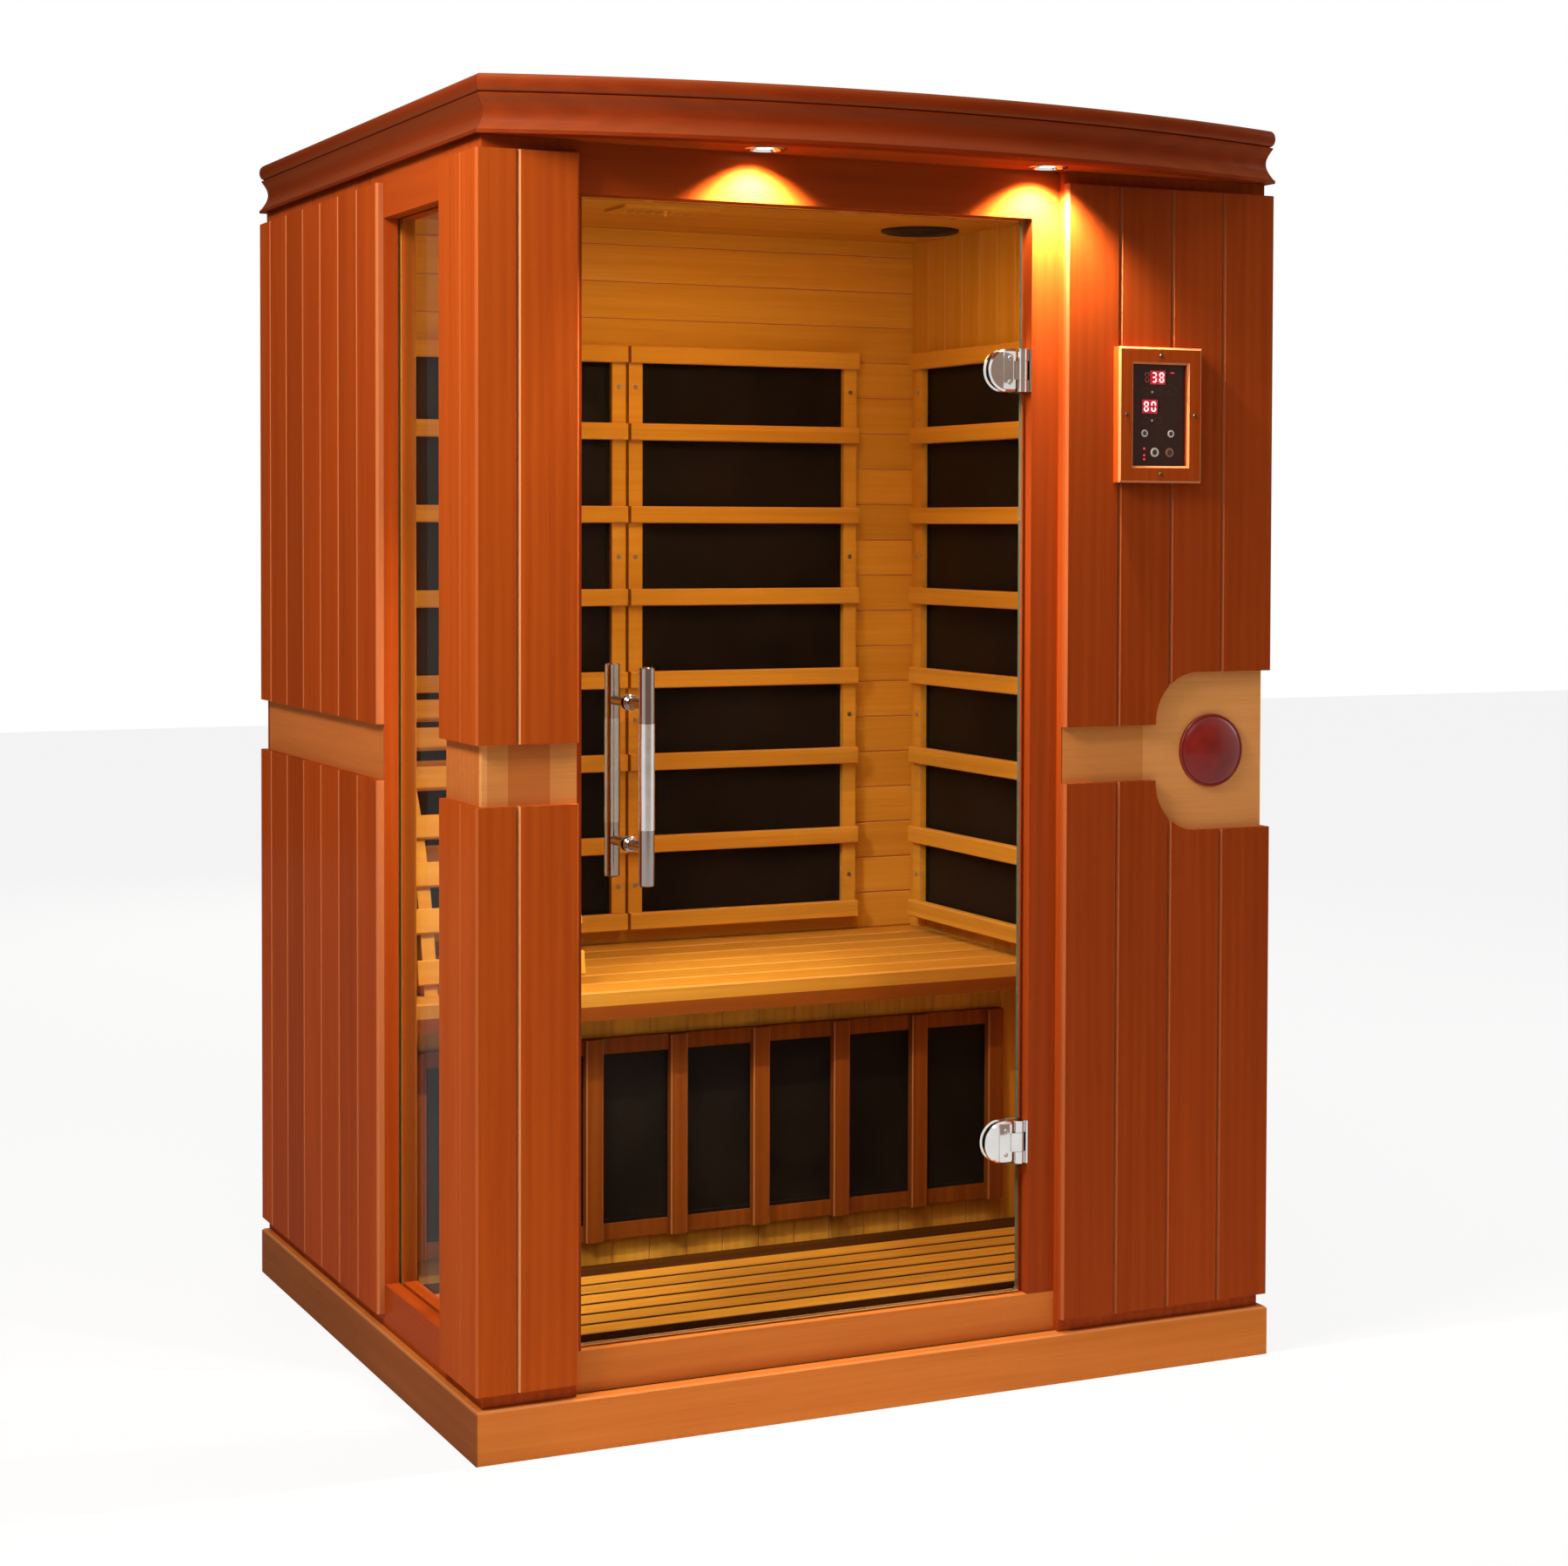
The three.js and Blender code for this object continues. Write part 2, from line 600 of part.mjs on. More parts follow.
// Stained boards over the panels, in a lower and an upper field
function claddings() {
  const fields = [
    ["lower", [BASE_HEIGHT + CLADDING_FOOT_GAP, BELT_BOTTOM]],
    ["upper", [BELT_TOP, ROOF_BOTTOM - CLADDING_HEAD_GAP]],
  ];
  const leftBoards = boardWidths(BACK - LEFT_WALL_FRONT, SIDE_BOARD);
  const rightStart = CORE_FRONT + FIT;
  const rightBoards = boardWidths(BACK - rightStart, SIDE_BOARD);
  const frontBoards = Array(FRONT_BOARDS).fill(FRONT_PANEL_WIDTH / FRONT_BOARDS);
  const past = 2 * CLADDING_THICKNESS;
  const frontBay = prismY(bayOutline(), [-past, past]).translate(HALF_WIDTH, FRONT, 0);
  const sideBay = prismY(bayOutline(), [-past, past])
    .rotateZ(-Math.PI / 2)
    .translate(HALF_WIDTH, FRONT, 0);
  return fields.flatMap(([field, heights]) => {
    const left = cladding([...leftBoards].reverse(), heights)
      .rotateZ(-Math.PI / 2)
      .translate(-HALF_WIDTH, BACK, 0);
    const right = cladding(rightBoards, heights)
      .rotateZ(Math.PI / 2)
      .translate(HALF_WIDTH, rightStart, 0);
    const front = cladding(frontBoards, heights).translate(PANEL_LEFT, FRONT, 0);
    return [
      mesh(`left_cladding_${field}`, left, STAINED),
      mesh(`right_cladding_${field}`, cut(right, sideBay), STAINED),
      mesh(`front_cladding_${field}`, cut(front, frontBay), STAINED),
      mesh(`post_cladding_${field}`, prismZ(postCladdingOutline(), heights), STAINED),
    ];
  });
}

// Boards that wrap the front left post, grooved at the joint on each face and eased at the corner
function postCladdingOutline() {
  const [half, depth] = [BOARD_GROOVE / 2, BOARD_GROOVE_DEPTH];
  const thickness = CLADDING_THICKNESS - FIT;
  const left = -HALF_WIDTH;
  const sideJoint = FRONT + POST_CORNER_SIDE_BOARD;
  const frontJoint = left + POST_CORNER_FRONT_BOARD;
  return outline(
    [left + thickness, POST_BACK],
    [left + depth, POST_BACK],
    [left, POST_BACK - half],
    [left, sideJoint + half],
    [left + depth, sideJoint],
    [left, sideJoint - half],
    [left, FRONT + half],
    [left + half, FRONT],
    [frontJoint - half, FRONT],
    [frontJoint, FRONT + depth],
    [frontJoint + half, FRONT],
    [POST_RIGHT - half, FRONT],
    [POST_RIGHT, FRONT + depth],
    [POST_RIGHT, FRONT + thickness],
    [left + thickness, FRONT + thickness],
  );
}

// Domed disc on the belt, in the middle of the corner bay
function disc() {
  const radius = DISC_DIAMETER / 2;
  const steps = 4;
  const dome = [];
  for (let step = 0; step <= steps; step += 1) {
    const angle = ((Math.PI / 2) * step) / steps;
    dome.push([radius * Math.cos(angle), DISC_RIM + DISC_DOME * Math.sin(angle)]);
  }
  dome[steps][0] = 0;
  const geometry = turned([[0, 0], [radius, 0], ...dome], 32).rotateX(Math.PI / 2);
  const place = [HALF_WIDTH - BAY_WIDTH / 2, CORE_FRONT - FIT, BELT_CENTRE];
  return mesh("corner_disc", geometry, RED, place);
}

// Door frame between the post and the front panel
function doorFrame() {
  const depth = [FRAME_FRONT, FRAME_BACK];
  const width = [POST_RIGHT + FIT, PANEL_LEFT - FIT];
  const header = block(width, depth, [OPENING_TOP, WALL_TOP]);
  const sill = block(width, depth, [WALL_BOTTOM, DOOR_SILL_TOP]);
  const uprights = [DOOR_SILL_TOP + FIT, OPENING_TOP - FIT];
  const jamb = block([JAMB_FACE, PANEL_LEFT - FIT], depth, uprights);
  const stopFront = DOOR_GLASS_BACK + FIT + SEAL_THICKNESS + FIT;
  const strike = prismZ(
    outline(
      [POST_RIGHT + FIT, FRAME_FRONT],
      [STRIKE_FACE, FRAME_FRONT],
      [STRIKE_FACE, stopFront],
      [POST_RIGHT + STOP_WIDTH, stopFront],
      [POST_RIGHT + STOP_WIDTH, FRAME_BACK],
      [POST_RIGHT + FIT, FRAME_BACK],
    ),
    uprights,
  );
  const sealBack = stopFront - FIT;
  const seal = block(
    [POST_RIGHT + STOP_WIDTH - SEAL_WIDTH, POST_RIGHT + STOP_WIDTH],
    [sealBack - SEAL_THICKNESS, sealBack],
    uprights,
  );
  return [
    mesh("door_header", header, STAINED),
    mesh("door_sill", sill, STAINED),
    mesh("hinge_jamb", jamb, STAINED),
    mesh("strike_jamb", strike, STAINED),
    mesh("door_seal", seal, BLACK),
  ];
}

// Frame side of a hinge: leaf on the jamb, outer knuckles and the pin, about the hinge axis
function hingeLeaf() {
  const half = HINGE_HEIGHT / 2;
  const knuckle = HINGE_KNUCKLE / 2 + HINGE_KNUCKLE_GAP;
  const face = JAMB_FACE - FIT - HINGE_X;
  const front = FRAME_FRONT - HINGE_Y;
  const pieces = [
    block([face - HINGE_LEAF, face], [front, front + HINGE_LEAF_WIDTH], [-half, half]),
    cylinder(HINGE_PIN_RADIUS, [-half, half]),
  ];
  for (const heights of [[-half, -knuckle], [knuckle, half]]) {
    pieces.push(cylinder(HINGE_BARREL_RADIUS, heights));
    pieces.push(block([0, face], [-HINGE_LEAF, HINGE_LEAF], heights));
  }
  return join(...pieces);
}

// Outline of a clamp plate: straight at the hinge side, half round at the other
function clampOutline(inset) {
  const radius = HINGE_HEIGHT / 2 - inset;
  const edge = -HINGE_PLATE_CLEARANCE - inset;
  const centre = -HINGE_PLATE_CLEARANCE - HINGE_PLATE_WIDTH + HINGE_HEIGHT / 2;
  const shape = new THREE.Shape();
  shape.moveTo(edge, -radius);
  shape.lineTo(edge, radius);
  shape.absarc(centre, 0, radius, Math.PI / 2, 1.5 * Math.PI);
  return shape;
}

// Clamp plate with eased edges, its face away from +y on y = 0
function clampPlate(thickness) {
  const settings = {
    depth: thickness - 2 * HINGE_EASE,
    bevelThickness: HINGE_EASE,
    bevelSize: HINGE_EASE,
    bevelSegments: 1,
    curveSegments: 12,
  };
  return new THREE.ExtrudeGeometry(clampOutline(HINGE_EASE), settings)
    .rotateX(Math.PI / 2)
    .translate(0, thickness - HINGE_EASE, 0);
}

// Door side of a hinge: two plates round the edge of the glass and the middle knuckle
function hingeClamp() {
  const half = HINGE_HEIGHT / 2;
  const flat = half - HINGE_EASE;
  const edge = -HINGE_PLATE_CLEARANCE;
  const backPlate = DOOR_GLASS_BACK + FIT - HINGE_Y;
  const knuckle = [-HINGE_KNUCKLE / 2, HINGE_KNUCKLE / 2];
  const bridgeDepth = [HINGE_FRONT_PLATE / 2, backPlate + HINGE_BACK_PLATE / 2];
  const body = join(
    clampPlate(HINGE_FRONT_PLATE),
    clampPlate(HINGE_BACK_PLATE).translate(0, backPlate, 0),
    block([edge - HINGE_BRIDGE, edge], bridgeDepth, [-flat, flat]),
    block([edge - HINGE_BRIDGE, 0], [-HINGE_BRIDGE, HINGE_FRONT_PLATE / 2], knuckle),
    cylinder(HINGE_BARREL_RADIUS, knuckle),
  );
  return cut(body, cylinder(HINGE_PIN_RADIUS + HINGE_RUNNING_GAP, [-half, half]));
}

// Bar handle that stands on the plane y = 0 and reaches towards -y
function handle() {
  const radius = HANDLE_DIAMETER / 2;
  const half = HANDLE_LENGTH / 2;
  const bar = turned([
    [0, -half],
    [radius - HANDLE_EASE, -half],
    [radius, -half + HANDLE_EASE],
    [radius, half - HANDLE_EASE],
    [radius - HANDLE_EASE, half],
    [0, half],
  ]).translate(0, -HANDLE_REACH, 0);
  const posts = [-0.5, 0.5].map((end) =>
    turned([
      [0, 0],
      [HANDLE_FLANGE_DIAMETER / 2, 0],
      [HANDLE_FLANGE_DIAMETER / 2, HANDLE_FLANGE],
      [HANDLE_POST_DIAMETER / 2, HANDLE_FLANGE],
      [HANDLE_POST_DIAMETER / 2, HANDLE_REACH],
      [0, HANDLE_REACH],
    ])
      .rotateX(Math.PI / 2)
      .translate(0, 0, end * HANDLE_POST_SPACING),
  );
  return join(bar, ...posts);
}

// Glass door about its hinge axis, and the hinge leaves that stay on the jamb
function door() {
  const right = JAMB_FACE - DOOR_HINGE_GAP - HINGE_X;
  const left = STRIKE_FACE + DOOR_GAP - HINGE_X;
  const depth = [DOOR_GLASS_FRONT - HINGE_Y, DOOR_GLASS_BACK - HINGE_Y];
  const heights = [DOOR_SILL_TOP + DOOR_GAP, OPENING_TOP - DOOR_GAP];
  const notchLeft = -HINGE_PLATE_CLEARANCE - HINGE_BRIDGE - FIT;
  const notchHalf = HINGE_HEIGHT / 2 + DOOR_HINGE_NOTCH;
  const through = [depth[0] - GLASS, depth[1] + GLASS];
  const notches = HINGE_LEVELS.map((z) =>
    block([notchLeft, right + GLASS], through, [z - notchHalf, z + notchHalf]),
  );
  const sheet = prismY(roundedRectangle([left, right], heights, DOOR_CORNER_RADIUS), depth, 4);
  const pane = cut(sheet, ...notches);
  const handleX = left + HANDLE_EDGE_DISTANCE;
  const outer = [handleX, DOOR_GLASS_FRONT - FIT - HINGE_Y, HANDLE_LEVEL];
  const inner = [handleX, DOOR_GLASS_BACK + FIT - HINGE_Y, HANDLE_LEVEL];
  const clamps = HINGE_LEVELS.map((z, place) =>
    mesh(`hinge_clamp_${place + 1}`, hingeClamp(), CHROME, [0, 0, z]),
  );
  const leaf = group(
    [
      mesh("door_glass", pane, CLEAR),
      mesh("handle_outside", handle(), CHROME, outer),
      mesh("handle_inside", handle().rotateZ(Math.PI), CHROME, inner),
      ...clamps,
    ],
    [HINGE_X, HINGE_Y, 0],
  );
  const leaves = HINGE_LEVELS.map((z, place) =>
    mesh(`hinge_leaf_${place + 1}`, hingeLeaf(), CHROME, [HINGE_X, HINGE_Y, z]),
  );
  return [leaf, ...leaves];
}

// Plan of the crown at a distance inside its outer edge: bowed front, straight sides and back
function crownOutline(inset) {
  const radius = (HALF_WIDTH ** 2 + CROWN_BOW ** 2) / (2 * CROWN_BOW);
  const centre = FRONT - CROWN_BOW + radius;
  const half = HALF_WIDTH - inset;
  const reach = Math.asin(half / (radius - inset));
  const points = [];
  for (let step = 0; step <= CROWN_BOW_STEPS; step += 1) {
    const angle = reach * ((2 * step) / CROWN_BOW_STEPS - 1);
    points.push([(radius - inset) * Math.sin(angle), centre - (radius - inset) * Math.cos(angle)]);
  }
  return [...points, [half, BACK - inset], [-half, BACK - inset]];
}

// Crown profile as (inset, height): lip, hollow cove, round bead, flat top
function crownProfile() {
  const beadBottom = CROWN_HEIGHT - CROWN_BEAD;
  const coveSteps = 6;
  const cove = [];
  for (let step = 0; step < coveSteps; step += 1) {
    const part = step / coveSteps;
    const hollow = CROWN_BEAD_STEP * part + 0.75 * CROWN_COVE * Math.sin(Math.PI * part);
    cove.push([hollow, CROWN_LIP + part * (beadBottom - CROWN_LIP)]);
  }
  const bead = [
    [CROWN_BEAD_STEP, beadBottom],
    [CROWN_BEAD_STEP * 0.25, beadBottom + CROWN_BEAD * 0.12],
    [0, beadBottom + CROWN_BEAD * 0.35],
    [0, beadBottom + CROWN_BEAD * 0.6],
    [CROWN_BEAD_STEP * 0.5, beadBottom + CROWN_BEAD * 0.86],
    [CROWN_BEAD_STEP * 1.75, CROWN_HEIGHT],
  ];
  return [[0, 0], ...cove, ...bead, [CROWN_THICKNESS, CROWN_HEIGHT], [CROWN_THICKNESS, 0]];
}

// Row of vent slots, cut through plate and shutter alike
function ventSlots(heights) {
  const back = (VENT_SHUTTER_DEPTH - VENT_SLOT) / 2;
  const slots = [];
  for (let slot = 0; slot < VENT_SLOTS; slot += 1) {
    const x = VENT_REST_X + (slot - (VENT_SLOTS - 1) / 2) * VENT_PITCH;
    slots.push(block([x - VENT_SLOT / 2, x + VENT_SLOT / 2], [back - VENT_SLOT_LENGTH, back], heights));
  }
  return slots;
}

// Slotted ceiling plate, with a slotted shutter that lies on it and is moved by a knob
function vent() {
  const through = [-2 * VENT_PLATE, 2 * VENT_PLATE];
  const plateX = VENT_HOLE_WIDTH / 2 + VENT_BORDER;
  const plateY = VENT_HOLE_DEPTH / 2 + VENT_BORDER;
  const plate = prismZ(
    roundedRectangle([-plateX, plateX], [-plateY, plateY], VENT_BORDER / 2),
    [-FIT - VENT_PLATE, -FIT],
    3,
  );
  const knobRoom = VENT_KNOB_DIAMETER / 2 + FIT;
  const knobSlot = block(
    [VENT_REST_X - knobRoom, VENT_REST_X + VENT_TRAVEL + knobRoom],
    [VENT_KNOB_Y - knobRoom, VENT_KNOB_Y + knobRoom],
    through,
  );
  const grille = cut(plate, ...ventSlots(through), knobSlot);

  const [halfX, halfY] = [VENT_SHUTTER_WIDTH / 2, VENT_SHUTTER_DEPTH / 2];
  const slide = block([VENT_REST_X - halfX, VENT_REST_X + halfX], [-halfY, halfY], [0, VENT_PLATE]);
  const knobFoot = -FIT - VENT_PLATE - VENT_KNOB_LENGTH;
  const knob = cylinder(VENT_KNOB_DIAMETER / 2, [knobFoot, VENT_PLATE / 2], 16);
  knob.translate(VENT_REST_X, VENT_KNOB_Y, 0);
  const shutter = join(cut(slide, ...ventSlots(through)), knob);
  return group(
    [mesh("vent_grille", grille, NATURAL), mesh("vent_shutter", shutter, NATURAL)],
    [VENT_X, ROOM_BACK - VENT_BACK_GAP, ROOF_BOTTOM],
  );
}

// Downlight: trim ring, cone and lens below its can
function downlight() {
  const rim = LIGHT_DIAMETER / 2;
  const can = LIGHT_CAN_DIAMETER / 2;
  return turned([
    [0, LIGHT_TRIM * 2],
    [rim * 0.5, LIGHT_TRIM * 2],
    [rim * 0.75, -FIT - LIGHT_TRIM * 0.6],
    [rim * 0.8, -FIT - LIGHT_TRIM],
    [rim * 0.93, -FIT - LIGHT_TRIM],
    [rim, -FIT - LIGHT_TRIM * 0.4],
    [rim, -FIT],
    [can, -FIT],
    [can, LIGHT_CAN_HEIGHT],
    [0, LIGHT_CAN_HEIGHT],
  ], 28);
}

// Speaker: domed grille and flange below its can
function speaker() {
  const rim = SPEAKER_DIAMETER / 2;
  const can = SPEAKER_CAN_DIAMETER / 2;
  return turned([
    [0, -FIT - SPEAKER_DOME],
    [rim * 0.45, -FIT - SPEAKER_DOME * 0.92],
    [rim * 0.8, -FIT - SPEAKER_DOME * 0.65],
    [rim * 0.84, -FIT - SPEAKER_DOME * 0.7],
    [rim * 0.96, -FIT - SPEAKER_DOME * 0.5],
    [rim, -FIT - SPEAKER_DOME * 0.3],
    [rim, -FIT],
    [can, -FIT],
    [can, SPEAKER_CAN_HEIGHT * 0.4],
    [can * 0.6, SPEAKER_CAN_HEIGHT],
    [0, SPEAKER_CAN_HEIGHT],
  ], 32);
}

// Round hole that clears a can of that diameter
function hole(x, y, diameter) {
  return new THREE.Path().absarc(x, y, diameter / 2 + FIT, 0, 2 * Math.PI);
}

// Roof: bowed crown moulding round a roof panel that is also ceiling and soffit
function roof() {
  const crown = mouldedFrame(crownProfile(), crownOutline).translate(0, 0, ROOF_BOTTOM);
  const plan = outline(...crownOutline(CROWN_THICKNESS + FIT));
  const lightY = FRONT - LIGHT_SETBACK;
  const speakerX = ROOM_X - SPEAKER_SIDE_GAP;
  const speakerY = ROOM_BACK - SPEAKER_BACK_GAP;
  const ventY = ROOM_BACK - VENT_BACK_GAP;
  plan.holes.push(
    hole(-LIGHT_SPACING / 2, lightY, LIGHT_CAN_DIAMETER),
    hole(LIGHT_SPACING / 2, lightY, LIGHT_CAN_DIAMETER),
    hole(speakerX, speakerY, SPEAKER_CAN_DIAMETER),
    outline(
      [VENT_X - VENT_HOLE_WIDTH / 2, ventY - VENT_HOLE_DEPTH / 2],
      [VENT_X + VENT_HOLE_WIDTH / 2, ventY - VENT_HOLE_DEPTH / 2],
      [VENT_X + VENT_HOLE_WIDTH / 2, ventY + VENT_HOLE_DEPTH / 2],
      [VENT_X - VENT_HOLE_WIDTH / 2, ventY + VENT_HOLE_DEPTH / 2],
    ),
  );
  const panel = prismZ(plan, [ROOF_BOTTOM, ROOF_BOTTOM + ROOF_THICKNESS], 24);

  const { width, depth, height } = POWER_BOX;
  const gland = cylinder(POWER_GLAND_DIAMETER / 2, [-POWER_GLAND_LENGTH, POWER_GLAND_LENGTH], 18);
  const box = join(
    prismZ(roundedRectangle([-width / 2, width / 2], [-depth / 2, depth / 2], 8), [0, height], 4),
    gland.rotateX(Math.PI / 2).translate(0, depth / 2, height / 2),
  );
  const boxY = BACK - CROWN_THICKNESS - POWER_BOX_EDGE_GAP - depth / 2;
  return [
    mesh("crown_moulding", crown, STAINED),
    mesh("roof_panel", panel, STAINED),
    mesh("downlight_left", downlight(), CHROME, [-LIGHT_SPACING / 2, lightY, ROOF_BOTTOM]),
    mesh("downlight_right", downlight(), CHROME, [LIGHT_SPACING / 2, lightY, ROOF_BOTTOM]),
    mesh("speaker", speaker(), BLACK, [speakerX, speakerY, ROOF_BOTTOM]),
    vent(),
    mesh("power_box", box, GREY, [0, boxY, ROOF_BOTTOM + ROOF_THICKNESS + FIT]),
  ];
}

// Control unit: mitred wooden frame round a panel with sunk displays and push buttons
function controlUnit() {
  const frame = mouldedFrame(
    [
      [0, 0],
      [0, CONTROL_THICKNESS - CONTROL_EASE],
      [CONTROL_EASE, CONTROL_THICKNESS],
      [CONTROL_RAIL - CONTROL_EASE, CONTROL_THICKNESS],
      [CONTROL_RAIL, CONTROL_THICKNESS - CONTROL_EASE],
      [CONTROL_RAIL, 0],
    ],
    rectangleAt(CONTROL_WIDTH, CONTROL_HEIGHT),
  ).rotateX(Math.PI / 2);
  const halfWidth = CONTROL_WIDTH / 2 - CONTROL_RAIL - FIT;
  const halfHeight = CONTROL_HEIGHT / 2 - CONTROL_RAIL - FIT;
  const face = PANEL_RECESS - CONTROL_THICKNESS;
  const buttonBack = face - BUTTON_PROUD + BUTTON_LENGTH;
  const pockets = BUTTONS.map(({ x, z, diameter }) =>
    cylinder(diameter / 2 + FIT, [-buttonBack - BUTTON_TRAVEL - FIT, CONTROL_THICKNESS])
      .rotateX(Math.PI / 2)
      .translate(x, 0, z),
  );
  const windows = DISPLAYS.map(({ x, z, width }) =>
    block(
      [x - width / 2, x + width / 2],
      [-CONTROL_THICKNESS, face + DISPLAY_RECESS],
      [z - DISPLAY_HEIGHT / 2, z + DISPLAY_HEIGHT / 2],
    ),
  );
  const plate = block([-halfWidth, halfWidth], [face, 0], [-halfHeight, halfHeight]);
  const panel = cut(plate, ...pockets, ...windows);
  const buttons = BUTTONS.map(({ name, x, z, diameter }) =>
    mesh(name, button(diameter / 2), GREY, [x, buttonBack, z]),
  );
  return group(
    [mesh("control_frame", frame, NATURAL), mesh("control_panel", panel, BLACK), ...buttons],
    [CONTROL_X, FRONT - FIT, CONTROL_LEVEL],
  );
}

// Push button with a raised ring, its back on y = 0 and its face towards -y
function button(radius) {
  const rim = BUTTON_PROUD / 2;
  return turned([
    [0, 0],
    [radius, 0],
    [radius, BUTTON_LENGTH - rim],
    [radius - rim, BUTTON_LENGTH],
    [radius * 0.7, BUTTON_LENGTH],
    [radius * 0.6, BUTTON_LENGTH - rim],
    [0, BUTTON_LENGTH - rim],
  ], 20).rotateX(Math.PI / 2);
}

// Heater with its back on y = 0, centred on x, its foot at z = 0: a slatted guard over an emitter
function heater(name, width, height, stileThickness, endShare) {
  const slatBack = -FIT - stileThickness + HEATER_LAP;
  const slatFront = -FIT - stileThickness - HEATER_SLAT_THICKNESS;
  const lowest = HEATER_SLAT / 2;
  const highest = height - lowest;
  const inner = HEATER_SLATS - 2;
  const levels = [lowest, highest];
  const pitch = (highest - lowest) / (inner - 1 + 2 * endShare);
  for (let slat = 0; slat < inner; slat += 1) {
    levels.push(height / 2 + (slat - (inner - 1) / 2) * pitch);
  }
  const pieces = levels.map((z) =>
    prismX(
      outline(
        [slatBack, z - HEATER_SLAT / 2],
        [slatBack, z + HEATER_SLAT / 2],
        [slatFront + HEATER_EASE, z + HEATER_SLAT / 2],
        [slatFront, z + HEATER_SLAT / 2 - HEATER_EASE],
        [slatFront, z - HEATER_SLAT / 2 + HEATER_EASE],
        [slatFront + HEATER_EASE, z - HEATER_SLAT / 2],
      ),
      [-width / 2, width / 2],
    ),
  );
  const inside = width / 2 - HEATER_STILE;
  pieces.push(block([-width / 2, -inside], [-FIT - stileThickness, -FIT], [0, height]));
  pieces.push(block([inside, width / 2], [-FIT - stileThickness, -FIT], [0, height]));

  const reach = inside - FIT;
  const face = -FIT - EMITTER_THICKNESS;
  const emitter = cut(
    block([-reach, reach], [face, -FIT], [lowest, highest]),
    block(
      [-reach + EMITTER_RIM, reach - EMITTER_RIM],
      [face - EMITTER_DISH, face + EMITTER_DISH],
      [lowest + EMITTER_RIM, highest - EMITTER_RIM],
    ),
  );
  return [mesh(`${name}_guard`, join(...pieces), NATURAL), mesh(`${name}_emitter`, emitter, EMITTER)];
}

// Upright heaters on the back and side walls, and a level one for the legs under the bench
function heaters() {
  const upright = (name) =>
    heater(name, HEATER_WIDTH, HEATER_HEIGHT, HEATER_STILE_THICKNESS, HEATER_END_SHARE);
  const backX = HEATER_WIDTH / 2 + HEATER_MIDDLE_GAP / 2;
  const sideY = ROOM_BACK - HEATER_SIDE_BACK_GAP - HEATER_WIDTH / 2;
  const low = group(
    heater("leg_heater", LEG_HEATER_HEIGHT, LEG_HEATER_LENGTH, LEG_HEATER_STILE_THICKNESS, 1),
  );
  low.rotation.y = Math.PI / 2;
  low.position.set(-LEG_HEATER_LENGTH / 2, BENCH_WALL_FACE, LEG_HEATER_LEVEL + LEG_HEATER_HEIGHT / 2);
  return [
    group(upright("back_left_heater"), [-backX, ROOM_BACK, HEATER_LEVEL]),
    group(upright("back_right_heater"), [backX, ROOM_BACK, HEATER_LEVEL]),
    group(upright("left_heater"), [-ROOM_X, sideY, HEATER_LEVEL], Math.PI / 2),
    group(upright("right_heater"), [ROOM_X, sideY, HEATER_LEVEL], -Math.PI / 2),
    low,
  ];
}

// Bench: slats on battens with an apron below the front edge, on a plank wall
function bench() {
  const reach = ROOM_X - FIT;
  const slat = (BENCH_DEPTH - FIT - (BENCH_SLATS - 1) * BENCH_GAP) / BENCH_SLATS;
  const slatBottom = BENCH_TOP - BENCH_SLAT_THICKNESS;
  const underside = slatBottom + BENCH_LAP;
  const pieces = [];
  for (let row = 0; row < BENCH_SLATS; row += 1) {
    const y = BENCH_FRONT + row * (slat + BENCH_GAP);
    const section = easedSection([y, y + slat], [slatBottom, BENCH_TOP], BENCH_EASE);
    pieces.push(prismX(section, [-reach, reach]));
  }
  const apronBack = BENCH_FRONT + BENCH_APRON.thickness;
  const apronHeights = [underside - BENCH_APRON.height, underside];
  pieces.push(block([-reach, reach], [BENCH_FRONT, apronBack], apronHeights));
  for (const place of [-1, 0, 1]) {
    const x = place * (reach - BENCH_BATTEN.width / 2);
    pieces.push(
      block(
        [x - BENCH_BATTEN.width / 2, x + BENCH_BATTEN.width / 2],
        [apronBack - BENCH_LAP, ROOM_BACK - FIT],
        [underside - BENCH_BATTEN.height, underside],
      ),
    );
  }
  const wall = lining(2 * reach, BENCH_WALL_THICKNESS, [WALL_BOTTOM, SEAT_BOTTOM - FIT]);
  return [
    mesh("bench_seat", join(...pieces), NATURAL),
    mesh("bench_wall", wall.translate(-reach, BENCH_WALL_FACE, 0), NATURAL),
  ];
}

